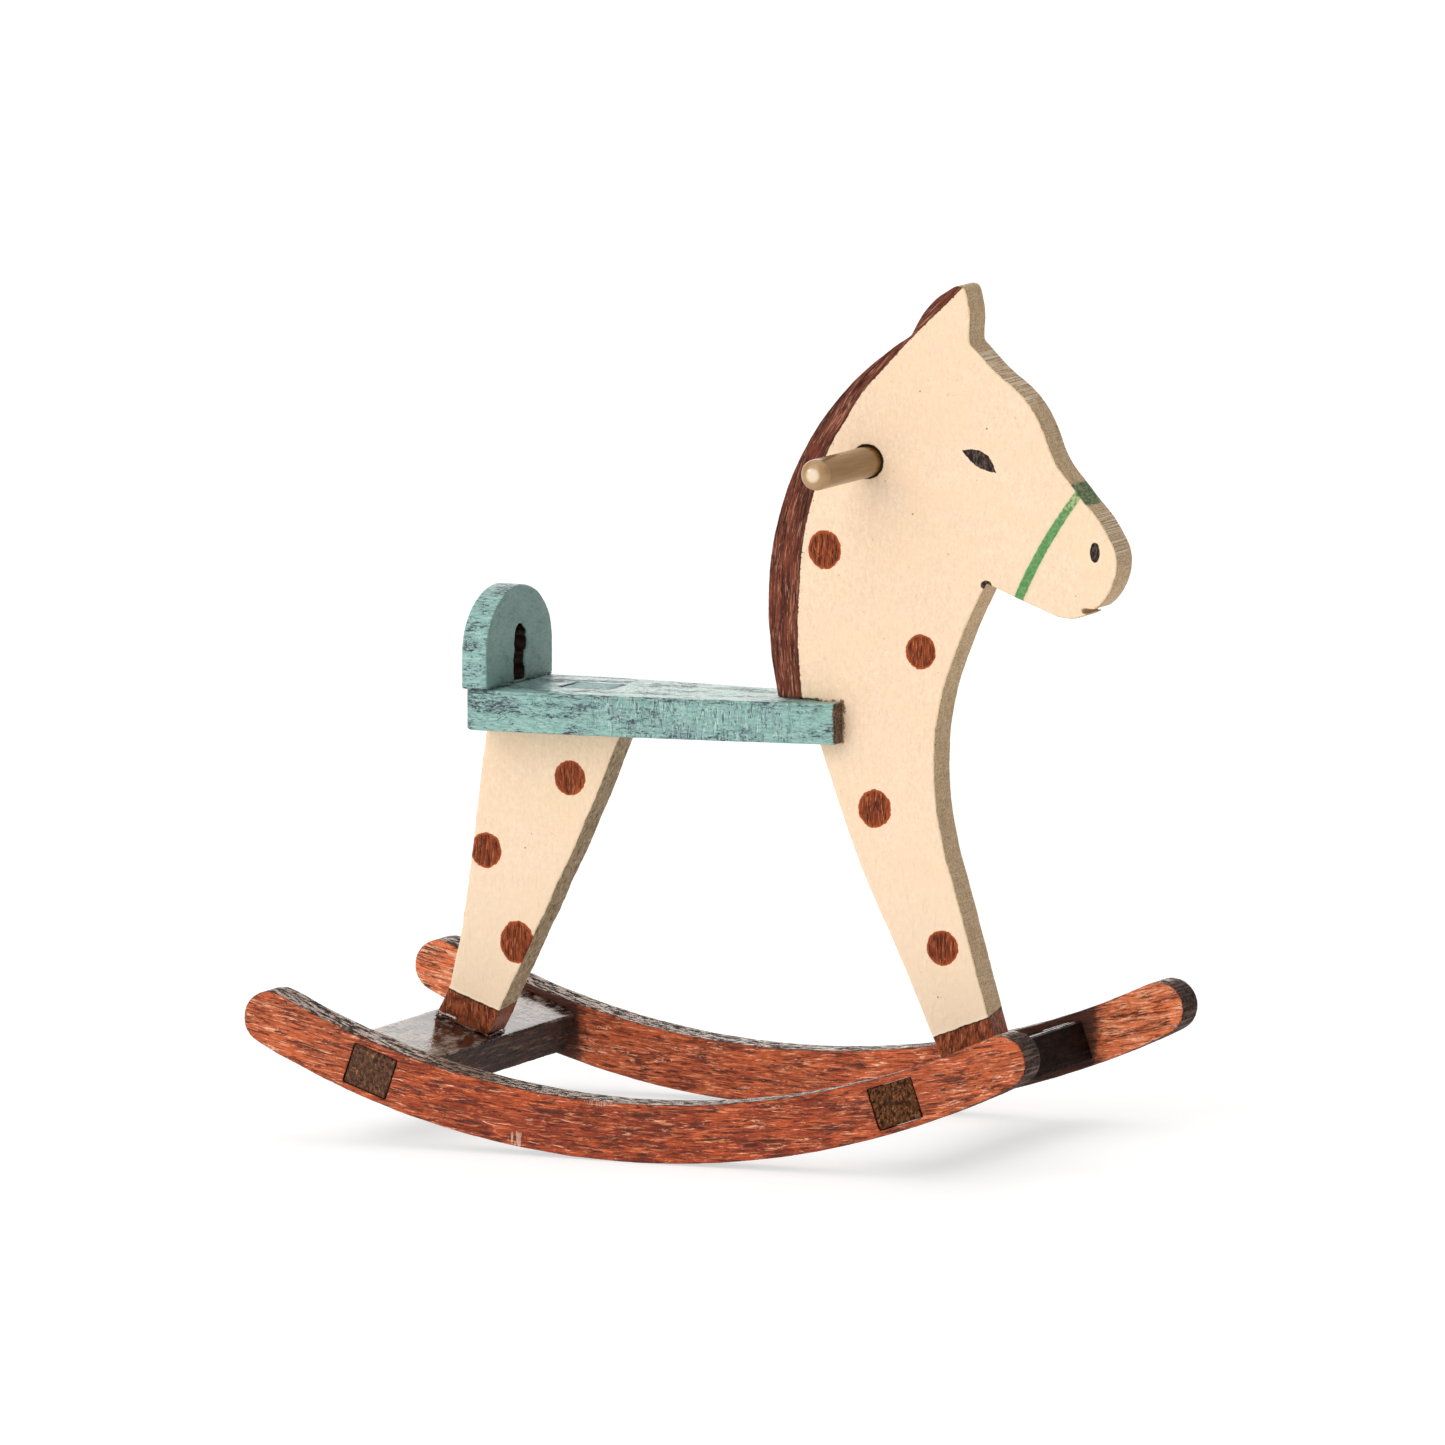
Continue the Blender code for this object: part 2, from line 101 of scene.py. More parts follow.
# Spots as centre x, centre z, width, height
NECK_SPOTS = (
    (15.3, 75.7, 4.5, 5.0),
    (28.5, 63.3, 4.1, 4.5),
    (22.2, 43.0, 4.5, 4.9),
    (31.5, 25.7, 4.3, 4.5),
)
REAR_SPOTS = (
    (-20.0, 44.8, 4.3, 4.5),
    (-31.7, 34.9, 4.3, 4.6),
    (-27.4, 23.25, 4.7, 5.5),
)
NOSTRIL = (52.2, 77.0, 1.35, 2.6)
THROAT_NICK = (37.45, 72.2, 1.6, 1.3)
EYE_CENTRE = (36.4, 87.8)
EYE_HALF_LENGTH = 2.75
EYE_TILT = math.radians(-29.5)
EYE_LID_HEIGHTS = (1.4, 0.65)
HALTER = ((49.6, 83.8), (41.8, 70.6))
HALTER_WIDTH = 1.2
HALTER_BOW = 0.45
SAWN_BANDS = ((95.0, 102.0), (76.5, 82.0))
BRIDGE_WRAP_Z = 84.15
HOLE_RING = 0.55
FRONT_HOOF_LINE = ((30.6, 14.4), (37.7, 17.2))
REAR_HOOF_LINE = ((-37.5, 17.0), (-30.0, 14.25))
REAR_HOOF_ENDS = (-38.9, -31.4)
HOOF_HALF_WIDTH = 2.75

# White nicks in the right rocker, as centre x, centre z, width, height
NEAR_CHIPS = ((-4.5, 7.5, 4.2, 1.3), (-15.8, 2.1, 2.4, 2.4))

# Centre of the rockers' arc above the floor, and the middle of a crossbar's upper face
ARC_CENTRE_Z = 116.7
CROSSBAR_X = 36.1
CROSSBAR_TOP_Z = 12.35

# Camera: a long lens at the horse's right side, a little above the seat
CAMERA_AZIMUTH = math.radians(23.4)
CAMERA_ELEVATION = math.radians(7.1)
CAMERA_DISTANCE = 2.295
CAMERA_LENS = 448.4
CAMERA_RIGHT = 0.00006
CAMERA_UP = 0.0522

# Studio light: soft key from the upper left, light from above, a bright backdrop behind
KEY_STRENGTH = 1.64
TOP_STRENGTH = 1.42
SPARK_STRENGTH = 0.4
ROOM_STRENGTH = 0.14
BACKDROP_STRENGTH = 2.3
WHITE_SEEN = 1.08
FLOOR_GLOW = 0.6
BACKDROP_FROM = 0.72
BACKDROP_FULL = 0.96


# ---------------- noise and outlines


def hashed(cells, seed):
    """A repeatable number from -1 to 1 for each lattice cell."""
    weights = np.array([127.1, 311.7, 74.7])[: cells.shape[1]]
    return np.modf(np.sin(cells @ weights + seed * 19.19) * 43758.5453)[0]


def smooth_noise(points, seed=0):
    """Smooth noise from -1 to 1 with unit spacing, for an (n, d) array."""
    cells = np.floor(points)
    part = points - cells
    part = part * part * (3.0 - 2.0 * part)
    total = np.zeros(len(points))
    dimensions = points.shape[1]
    for corner in range(2**dimensions):
        bits = np.array([(corner >> axis) & 1 for axis in range(dimensions)], float)
        weight = np.prod(np.where(bits == 1.0, part, 1.0 - part), axis=1)
        total += weight * hashed(cells + bits, seed)
    return total


def section(node, axes, w):
    """Closed (n, 2) outlines of a CAD node cut across its thickness at w, in millimetres.

    The largest loop comes first and runs anticlockwise; holes run clockwise.
    """
    body = bmesh.new()
    body.from_mesh(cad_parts[node].data)
    bmesh.ops.remove_doubles(body, verts=body.verts, dist=0.001 * MM)
    everything = list(body.verts) + list(body.edges) + list(body.faces)
    bmesh.ops.bisect_plane(
        body,
        geom=everything,
        dist=0.0001 * MM,
        plane_co=Vector(axes[2] * w * MM),
        plane_no=Vector(axes[2]),
        clear_inner=True,
        clear_outer=True,
    )
    loops = []
    waiting = set(body.verts)
    while waiting:
        vertex = min(waiting, key=lambda v: v.index)
        chain = []
        while vertex in waiting:
            waiting.discard(vertex)
            chain.append(vertex)
            ahead = [edge.other_vert(vertex) for edge in vertex.link_edges]
            ahead = [other for other in ahead if other in waiting]
            if ahead:
                vertex = ahead[0]
        points = np.array([chained.co[:] for chained in chain]) @ axes.T / MM
        if len(points) > 2:
            loops.append(points[:, :2])
    body.free()
    loops.sort(key=lambda loop: -abs(signed_area(loop)))
    turned = []
    for index, loop in enumerate(loops):
        anticlockwise = signed_area(loop) > 0.0
        turned.append(loop if anticlockwise == (index == 0) else loop[::-1])
    return turned


def signed_area(loop):
    """Area inside a closed loop, positive when it runs anticlockwise."""
    ahead = np.roll(loop, -1, axis=0)
    return 0.5 * float(np.sum(loop[:, 0] * ahead[:, 1] - loop[:, 1] * ahead[:, 0]))


def travelled(chain):
    """Distance along a chain of points up to each of them."""
    return np.concatenate([[0.0], np.cumsum(np.linalg.norm(np.diff(chain, axis=0), axis=1))])


def along_chain(chain, stations):
    """Points at the given distances along a chain."""
    reached = travelled(chain)
    return np.stack([np.interp(stations, reached, column) for column in chain.T], axis=1)


def fine_loop(loop, rounding=3):
    """The same outline in even short steps, with its corners slightly worn."""
    closed = np.vstack([loop, loop[:1]])
    length = travelled(closed)[-1]
    count = max(24, int(round(length / EDGE_STEP)))
    fine = along_chain(closed, np.arange(count) * length / count)
    for _ in range(rounding):
        fine = 0.5 * fine + 0.25 * (np.roll(fine, 1, axis=0) + np.roll(fine, -1, axis=0))
    return fine


def inward_normals(loop):
    """Unit vectors from a loop into the material on its left."""
    along = np.roll(loop, -2, axis=0) - np.roll(loop, 2, axis=0)
    along /= np.linalg.norm(along, axis=1)[:, None] + 1e-12
    return np.stack([-along[:, 1], along[:, 0]], axis=1)


def inside(points, loops):
    """Even-odd test of points against closed loops together."""
    crossings = np.zeros(len(points), int)
    for loop in loops:
        ahead = np.roll(loop, -1, axis=0)
        for start in range(0, len(points), TEST_BATCH):
            x, y = points[start : start + TEST_BATCH, 0:1], points[start : start + TEST_BATCH, 1:2]
            spans = (loop[:, 1] > y) != (ahead[:, 1] > y)
            rise = np.where(ahead[:, 1] == loop[:, 1], 1.0, ahead[:, 1] - loop[:, 1])
            meets = loop[:, 0] + (y - loop[:, 1]) / rise * (ahead[:, 0] - loop[:, 0])
            crossings[start : start + TEST_BATCH] += np.sum(spans & (x < meets), axis=1)
    return crossings % 2 == 1


def lattice(loops, seed):
    """Points of a shaken triangular lattice between the loops, clear of their own points."""
    boundary = np.vstack(loops)
    tree = kdtree.KDTree(len(boundary))
    for index, (x, y) in enumerate(boundary):
        tree.insert((x, y, 0.0), index)
    tree.balance()
    low, high = boundary.min(0), boundary.max(0)
    row_height = FACE_STEP * math.sqrt(0.75)
    columns = np.arange(low[0], high[0], FACE_STEP)
    rows = np.arange(low[1], high[1], row_height)
    grid = np.stack(np.meshgrid(columns, rows), axis=-1)
    grid[1::2, :, 0] += FACE_STEP / 2
    grid = grid.reshape(-1, 2)
    jitter = np.stack([hashed(np.round(grid * 97.0), seed + axis) for axis in range(2)], axis=1)
    grid = grid + LATTICE_SHAKE * FACE_STEP * jitter
    grid = grid[inside(grid, loops)]
    clear = [tree.find((x, y, 0.0))[2] > LATTICE_CLEAR * FACE_STEP for x, y in grid]
    return grid[np.array(clear, bool)] if len(grid) else grid


def fill(loops, seed):
    """Triangles over the region between loops, with a lattice of points inside.

    Returns the added points and the triangles, which count the loops' points first.
    """
    boundary = np.vstack(loops)
    points = np.vstack([boundary, lattice(loops, seed)])
    edges = []
    start = 0
    for loop in loops:
        count = len(loop)
        edges += [(start + i, start + (i + 1) % count) for i in range(count)]
        start += count
    result = delaunay_2d_cdt([Vector(point) for point in points], edges, [], 0, 1e-7)
    places, triangles, origins = result[0], result[2], result[3]
    known = {}
    for index, sources in enumerate(origins):
        if sources:
            known[index] = sources[0]
        else:
            known[index] = len(points)
            points = np.vstack([points, np.array(places[index])[None, :]])
    corners = np.array([[known[index] for index in triangle] for triangle in triangles])
    centres = points[corners].mean(axis=1)
    corners = corners[inside(centres, loops)]
    side_a = points[corners[:, 1]] - points[corners[:, 0]]
    side_b = points[corners[:, 2]] - points[corners[:, 0]]
    clockwise = side_a[:, 0] * side_b[:, 1] - side_a[:, 1] * side_b[:, 0] < 0.0
    corners[clockwise] = corners[clockwise][:, ::-1]
    return points[len(boundary) :], corners


# ---------------- boards


class Body:
    """Vertices and faces of one piece in board axes, gathered before the mesh is made."""

    def __init__(self):
        self.points = []
        self.faces = []
        self.count = 0

    def add_points(self, flat, w):
        """Add (u, v) points at height w; returns their indices."""
        block = np.column_stack([flat, np.broadcast_to(w, len(flat))])
        self.points.append(block)
        first = self.count
        self.count += len(block)
        return np.arange(first, self.count)

    def add_band(self, rows):
        """Quads between closed rows of point indices, lowest w first."""
        for lower, upper in zip(rows[:-1], rows[1:]):
            quads = np.stack([lower, np.roll(lower, -1), np.roll(upper, -1), upper], axis=1)
            self.faces.extend(quads.tolist())

    def add_cap(self, loops, indices, w, relief, seed, upward=True):
        """Fill a flat face between loops whose points are already in the body."""
        added, triangles = fill(loops, seed)
        sink = relief(added) if len(added) else np.zeros(0)
        new = self.add_points(added, w - sink if upward else w + sink)
        table = np.concatenate(list(indices) + [new])
        if not upward:
            triangles = triangles[:, ::-1]
        self.faces.extend(table[triangles].tolist())

    def make(self, name, axes, material):
        """The finished object in the world's axes."""
        return make_piece(name, np.vstack(self.points) @ axes * MM, self.faces, material)


def add_to_scene(name, data):
    """A new object in the scene that holds a mesh, a light or a camera."""
    added = bpy.data.objects.new(name, data)
    bpy.context.scene.collection.objects.link(added)
    return added


def make_piece(name, points, faces, material):
    """A smooth shaded mesh object that rides on the horse's one body."""
    mesh = bpy.data.meshes.new(name)
    mesh.from_pydata([tuple(point) for point in points], [], faces)
    mesh.validate()
    mesh.shade_smooth()
    mesh.materials.append(material)
    piece = add_to_scene(name, mesh)
    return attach(piece, "root")


def edge_rows(body, loop, low, high, radii, relief, low_arris=True):
    """Rows of points up a board's edge, from its lower face to its upper face."""
    normals = inward_normals(loop)
    stations = travelled(loop)
    turns = np.linspace(0.0, math.pi / 2, ARRIS_STEPS + 1)
    arris = [(1.0 - math.sin(turn), 1.0 - math.cos(turn)) for turn in turns]
    count = max(2, int(round((high - low) / EDGE_ROW_HEIGHT)))
    straight = high - low - 2.0 * radii
    levels = [(low + radii * rise, inset) for inset, rise in (arris if low_arris else [(0.0, 0.0)])]
    levels += [(low + radii + straight * (index / count), 0.0) for index in range(1, count)]
    levels += [(high - radii * rise, inset) for inset, rise in arris[::-1]]
    rows = []
    for w, inset in levels:
        depth = relief(stations, w, loop) * (1.0 - inset)
        rows.append(body.add_points(loop + normals * (radii * inset + depth)[:, None], w))
    return rows


def worn_radii(loop, seed, node):
    """Arris radius along a loop: worn more in some places than in others."""
    wear = 1.0 + 0.3 * smooth_noise(loop / 2.3, seed) + 0.15 * smooth_noise(loop / 0.6, seed + 1)
    radii = WORN_RADIUS * wear
    if node == "rear_leg":
        radii = np.where(loop[:, 1] > TENON_FROM_Z, TENON_ARRIS, radii)
    return radii


def saw_relief(seed, ripple=0.018, waves=0.04, everywhere=0.35, extra=None):
    """Edge depth: fine saw ripples across the edge, in stretches, on a gentle unevenness."""

    def relief(stations, w, loop):
        stretch = 0.5 + 0.5 * smooth_noise(loop / 9.0, seed)
        strength = everywhere + (1.0 - everywhere) * np.clip(3.0 * stretch - 1.2, 0.0, 1.0)
        pitch = 0.52 + 0.05 * smooth_noise(loop / 5.0, seed + 3)
        ribs = 0.5 + 0.5 * np.sin(2.0 * math.pi * stations / pitch + 0.25 * np.asarray(w))
        uneven = 0.5 + 0.5 * smooth_noise(loop / 2.2, seed + 5)
        pits = np.column_stack([loop / 0.35, np.broadcast_to(np.asarray(w) / 0.5, len(loop))])
        pits = 0.5 + 0.5 * smooth_noise(pits, seed + 7)
        depth = ripple * strength * ribs + waves * uneven + 0.012 * pits
        return depth if extra is None else extra(depth, loop)

    return relief


def rear_leg_extra(depth, loop):
    """The rear board's edge is filed unevenly, but its tenon in the seat is square and flush."""
    filed = 0.09 * (0.5 + 0.5 * smooth_noise(loop / 0.9, 211))
    return np.where(loop[:, 1] > TENON_FROM_Z, 0.004, depth + filed)


def seat_extra(depth, loop):
    """Upright ridges of dried paint along the front half of the seat's edges."""
    front = np.clip((loop[:, 0] + 14.0) / 8.0, 0.0, 1.0)
    ridges = 0.5 + 0.5 * smooth_noise(loop[:, :1] / 0.5, 311)
    return depth + 0.09 * front * ridges


def rocker_extra(depth, loop):
    """Coarse saw ribs across the rockers' ends."""
    tip = np.clip((np.abs(loop[:, 0]) - 42.0) / 6.0, 0.0, 1.0)
    ribs = 0.5 + 0.5 * smooth_noise(loop / 0.26, 511)
    return depth + 0.05 * tip * ribs


def gentle_relief(seed, depth=0.03):
    """Face depth: slow unevenness of a planed and painted face."""

    def relief(points):
        slow = 0.5 + 0.5 * smooth_noise(points / 6.0, seed)
        quick = 0.5 + 0.5 * smooth_noise(points / 1.3, seed + 2)
        return depth * (0.7 * slow + 0.3 * quick)

    return relief


def thickness_span(node, axes):
    """Lowest and highest w of a CAD node, in millimetres."""
    corners = np.array([vertex.co[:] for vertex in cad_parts[node].data.vertices])
    heights = corners @ axes[2] / MM
    return float(heights.min()), float(heights.max())


def build_board(
    name, node, axes, material, seed, edge_relief, cut_at=0.5, pocket_depth=0.0, slots=(), rounding=3
):
    """One closed board on its CAD node's outline, with pockets sunk from its upper face.

    The outline is cut at a fraction of the thickness; its holes go through, or down to
    pocket_depth, and slots adds further (clockwise loop, depth) pockets.
    """
    low, high = thickness_span(node, axes)
    found = section(node, axes, low + cut_at * (high - low))
    through = [fine_loop(loop, rounding=rounding) for loop in found]
    pockets = [(fine_loop(loop, rounding=1), depth) for loop, depth in slots]
    if pocket_depth:
        through, sunk = through[:1], through[1:]
        pockets += [(loop, pocket_depth) for loop in sunk]
    body = Body()
    bottoms, tops = [], []
    for index, loop in enumerate(through):
        radii = worn_radii(loop, seed, node) if index == 0 else np.full(len(loop), HOLE_ARRIS)
        rows = edge_rows(body, loop, low, high, radii, edge_relief)
        body.add_band(rows)
        bottoms.append(rows[0])
        tops.append(rows[-1])
    for loop, depth in pockets:
        radii = np.full(len(loop), HOLE_ARRIS)
        floor = high - depth
        rows = edge_rows(body, loop, floor, high, radii, edge_relief, low_arris=False)
        body.add_band(rows)
        tops.append(rows[-1])
        base = np.vstack(body.points)[rows[0]][:, :2]
        body.add_cap([base[::-1]], [rows[0][::-1]], floor, gentle_relief(seed), seed + 11)
    places = np.vstack(body.points)
    relief = gentle_relief(seed + 20)
    body.add_cap([places[top][:, :2] for top in tops], tops, high, relief, seed + 12)
    flipped = [places[bottom][:, :2] for bottom in bottoms]
    body.add_cap(flipped, bottoms, low, relief, seed + 13, upward=False)
    piece = body.make(name, axes, material)
    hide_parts(node)


def tail_slot_loop():
    """The ragged opening of the tail slot in the backrest's front face, clockwise in (y, z)."""
    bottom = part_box("backrest")[0].z / MM + 0.12
    half = TAIL_SLOT_WIDTH / 2
    spring = TAIL_SLOT_TOP - half
    loop = [(half, bottom), (-half, bottom)]
    steps = 16
    for index in range(steps + 1):
        turn = math.pi - math.pi * index / steps
        loop.append((half * math.cos(turn), spring + half * math.sin(turn)))
    loop = fine_loop(np.array(loop), rounding=1)
    bends = smooth_noise(loop[:, 1:] / 1.7, 73)
    nicks = smooth_noise(loop / 0.7, 71)
    on_seat = np.clip((loop[:, 1] - bottom) / 1.0, 0.0, 1.0)
    pinch = 0.5 + 0.5 * smooth_noise(loop[:, 1:] / 1.5, 79)
    across = loop[:, 0] * (1.0 - 0.16 * pinch) + (0.5 * bends + 0.16 * nicks) * on_seat
    return np.column_stack([across, loop[:, 1] - 0.1 * on_seat])


def ring_walls(first, rings, sides):
    """Quads between rings of points, each clockwise as seen from the last ring's end."""
    quads = []
    for start in range(first, first + (rings - 1) * sides, sides):
        for side in range(sides):
            a, b = start + side, start + (side + 1) % sides
            quads.append((a, a + sides, b + sides, b))
    return quads


def dowel_profile(half, radius):
    """(y, radius) stations from one domed end of the dowel to the other."""
    dome = []
    for index in range(1, DOME_STEPS + 1):
        lean = math.pi / 2 * index / DOME_STEPS
        dome.append((-half + DOME_DEPTH * (1.0 - math.cos(lean)), radius * math.sin(lean) ** 0.8))
    length = 2.0 * (half - DOME_DEPTH)
    count = int(length / 0.25)
    straight = [(-half + DOME_DEPTH + length * index / count, radius) for index in range(1, count)]
    return dome + straight + [(-y, reach) for y, reach in reversed(dome)]


def build_dowel(material):
    """The drawn round handle with domed ends and faint lengthwise scraping."""
    low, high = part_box("handle_dowel")
    axis_x = (low.x + high.x) / 2 / MM
    axis_z = (low.z + high.z) / 2 / MM
    radius = (high.z - low.z) / 2 / MM
    half = high.y / MM
    turns = 2.0 * math.pi * np.arange(DOWEL_SIDES) / DOWEL_SIDES
    stations = dowel_profile(half, radius)
    points = [(axis_x, -half, axis_z)]
    for y, reach in stations:
        along = np.full(DOWEL_SIDES, 0.12 * y)
        around = np.stack([2.0 * np.cos(turns), 2.0 * np.sin(turns), along], axis=1)
        scraped = 0.006 * (1.0 + smooth_noise(around * 3.0, 41))
        bent = 0.02 * (1.0 + smooth_noise(around * 0.6, 43))
        wide = reach - (scraped + bent) * reach / radius
        ring = (axis_x + wide * np.cos(turns), np.full(DOWEL_SIDES, y), axis_z + wide * np.sin(turns))
        points += np.stack(ring, axis=1).tolist()
    points.append((axis_x, half, axis_z))
    last_ring = 1 + (len(stations) - 1) * DOWEL_SIDES
    faces = ring_walls(1, len(stations), DOWEL_SIDES)
    for side in range(DOWEL_SIDES):
        ahead = (side + 1) % DOWEL_SIDES
        faces.append((0, 1 + side, 1 + ahead))
        faces.append((len(points) - 1, last_ring + ahead, last_ring + side))
    piece = make_piece("handle", np.array(points) * MM, faces, material)
    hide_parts("handle_dowel")


def build_bead(name, path, thickness, material, seed):
    """A lumpy bead of squeezed-out glue or stain along a path, in millimetres."""
    path = np.array(path, float)
    length = travelled(path)[-1]
    count = max(6, int(length / BEAD_STEP))
    stations = np.linspace(0.0, length, count)
    centres = along_chain(path, stations)
    drift = np.stack([smooth_noise(stations[:, None] / 0.9, seed + axis) for axis in range(3)], axis=1)
    centres = centres + 0.25 * thickness * drift
    along = np.gradient(centres, axis=0)
    along /= np.linalg.norm(along, axis=1)[:, None]
    side = np.cross(along, np.array([0.13, 0.21, 0.97]))
    side /= np.linalg.norm(side, axis=1)[:, None]
    up = np.cross(side, along)
    lumps = 0.62 + 0.38 * smooth_noise(stations[:, None] / 0.55, seed + 9)
    ends = np.sqrt(np.clip(1.0 - (2.0 * np.linspace(0.0, 1.0, count) - 1.0) ** 8, 0.0, 1.0))
    reach = 0.5 * thickness * lumps * ends + 0.004
    points = []
    for index in range(count):
        for corner in range(BEAD_SIDES):
            turn = 2.0 * math.pi * corner / BEAD_SIDES
            offset = side[index] * math.cos(turn) + up[index] * math.sin(turn)
            points.append(tuple((centres[index] + offset * reach[index]) * MM))
    ring = tuple(range(BEAD_SIDES))
    last_ring = tuple((count - 1) * BEAD_SIDES + corner for corner in ring)
    faces = ring_walls(0, count, BEAD_SIDES) + [ring, last_ring[::-1]]
    piece = make_piece(name, points, faces, material)


# ---------------- material writing


def linear(red, green, blue):
    """A colour from 0 to 255 display values to the linear values that shaders use."""
    parts = [value / 255.0 for value in (red, green, blue)]
    curved = [part / 12.92 if part <= 0.04045 else ((part + 0.055) / 1.055) ** 2.4 for part in parts]
    return (*curved, 1.0)


class Value:
    """A node's output in a material; arithmetic with it adds further nodes."""

    def __init__(self, writer, socket):
        self.writer = writer
        self.socket = socket

    def __add__(self, other):
        return self.writer.math("ADD", self, other)

    def __sub__(self, other):
        return self.writer.math("SUBTRACT", self, other)

    def __rsub__(self, other):
        return self.writer.math("SUBTRACT", other, self)

    def __mul__(self, other):
        return self.writer.math("MULTIPLY", self, other)

    def __abs__(self):
        return self.writer.math("ABSOLUTE", self)

    __radd__ = __add__
    __rmul__ = __mul__


class NodeWriter:
    """Adds nodes to the node tree of a material or a world."""

    def __init__(self, owner):
        owner.use_nodes = True
        self.tree = owner.node_tree

    def node(self, kind, inputs, output=0, **options):
        """Add a node and feed its inputs; returns one of its outputs."""
        made = self.tree.nodes.new("ShaderNode" + kind)
        for option, setting in options.items():
            setattr(made, option, setting)
        for key, value in inputs.items():
            self.feed(made.inputs[key], value)
        return Value(self, made.outputs[output])

    def feed(self, socket, value):
        """Connect an output to a socket, or set the socket to a plain value."""
        if isinstance(value, Value):
            self.tree.links.new(value.socket, socket)
        else:
            socket.default_value = value

    def math(self, operation, a, b=0.0):
        """Arithmetic on one or two values."""
        return self.node("Math", {0: a, 1: b}, operation=operation)

    def vector_math(self, operation, a, b, output=0):
        """Arithmetic on two vectors; output 1 is a result that is one number."""
        return self.node("VectorMath", {0: a, 1: b}, output, operation=operation)


class Finish(NodeWriter):
    """Writes one Principled material, laid out in millimetres."""

    def __init__(self, name):
        self.material = bpy.data.materials.new(name)
        super().__init__(self.material)
        self.shader = self.tree.nodes["Principled BSDF"]
        metres = self.node("TexCoord", {}, output="Object")
        millimetres = self.vector_math("MULTIPLY", metres, (1.0 / MM, 1.0 / MM, 1.0 / MM))
        self.place = self.vector_math("ADD", millimetres, (LAYOUT_SHIFT, 0.0, 0.0))
        self.x, self.y, self.z = (self.node("SeparateXYZ", {0: self.place}, axis) for axis in range(3))

    def combine(self, x, y, z):
        """One vector from three values."""
        return self.node("CombineXYZ", {0: x, 1: y, 2: z})

    def scaled(self, stretch):
        """The place, stretched evenly or by a factor along each axis."""
        factors = stretch if isinstance(stretch, tuple) else (stretch, stretch, stretch)
        return self.vector_math("MULTIPLY", self.place, factors)

    def noise(self, fineness, detail=2.0, roughness=0.5, distortion=0.0):
        """Perlin noise around 0.5, from its cells to the millimetre or from its own vector."""
        vector = fineness if isinstance(fineness, Value) else self.scaled(fineness)
        amounts = {"Detail": detail, "Roughness": roughness, "Distortion": distortion}
        return self.node("TexNoise", {"Vector": vector, "Scale": 1.0, **amounts})

    def cells(self, fineness):
        """Distance to the nearest of one scattered point in each unit cell."""
        return self.node("TexVoronoi", {"Vector": self.scaled(fineness), "Scale": 1.0})

    def curve(self, value, points, span):
        """A smooth curve through (input, output) points, both between 0 and span."""
        result = self.node("FloatCurve", {"Value": value * (1.0 / span)})
        mapping = result.socket.node.mapping
        line = mapping.curves[0]
        shape = [(a / span, b / span) for a, b in points]
        line.points[0].location = shape[0]
        line.points[1].location = shape[-1]
        for location in shape[1:-1]:
            line.points.new(*location)
        mapping.use_clip = False
        mapping.update()
        return result * span

    def above_line(self, start, end):
        """Signed height above the straight line through two (x, z) points."""
        (x0, z0), (x1, z1) = start, end
        slope = (z1 - z0) / (x1 - x0)
        return self.z - (self.x * slope + (z0 - slope * x0))

    def ellipse(self, spot):
        """Distance from a spot's centre in (x, z), 1 on its rim."""
        x, z, width, height = spot
        scale = (2.0 / width, 0.0, 2.0 / height)
        shifted = self.vector_math("ADD", self.scaled(scale), (-x * scale[0], 0.0, -z * scale[2]))
        return self.vector_math("LENGTH", shifted, (0.0, 0.0, 0.0), output=1)

    def bumps(self, *layers):
        """Stack (height, strength, distance in millimetres) layers of relief on the surface."""
        below = {}
        for height, strength, distance in layers:
            relief = {"Height": height, "Strength": strength, "Distance": distance * MM}
            below = {"Normal": self.node("Bump", {**relief, **below})}
        self.feed(self.shader.inputs["Normal"], below["Normal"])

    def done(self, colour, roughness, specular):
        """Give the shader its colour, roughness and specular level; returns the material."""
        self.feed(self.shader.inputs["Base Color"], colour)
        self.feed(self.shader.inputs["Roughness"], roughness)
        self.shader.inputs["Specular IOR Level"].default_value = specular
        return self.material


def larger(a, b):
    """The larger of two outputs, or of an output and a number."""
    return a.writer.math("MAXIMUM", a, b)


def smaller(a, b):
    """The smaller of two outputs, or of an output and a number."""
    return a.writer.math("MINIMUM", a, b)


def step(value, low, high):
    """0 below low, 1 above high, smooth between; low above high turns it round."""
    turned = low > high
    start = {"From Min": min(low, high), "To Min": float(turned)}
    end = {"From Max": max(low, high), "To Max": float(not turned)}
    ends = {"Value": value, **start, **end}
    return value.writer.node("MapRange", ends, interpolation_type="SMOOTHSTEP")


def tint(colour):
    """A display colour of three parts or one grey level, ready for a socket."""
    if isinstance(colour, tuple):
        return linear(*colour)
    return colour if isinstance(colour, Value) else (colour, colour, colour, 1.0)


def mix(factor, a, b):
    """From a to b, which are outputs, display colours or grey levels."""
    writer = next(part.writer for part in (factor, a, b) if isinstance(part, Value))
    return writer.node("Mix", {0: factor, 6: tint(a), 7: tint(b)}, output=2, data_type="RGBA")


def ramp(value, low, high, first, second):
    """From one display colour to another as the value goes from low to high."""
    return mix(step(value, low, high), first, second)


def coated(colour, *coats):
    """A colour under (mask, colour) coats, laid on one after another."""
    for mask, coat in coats:
        colour = mix(mask, colour, coat)
    return colour


# ---------------- paints and stains


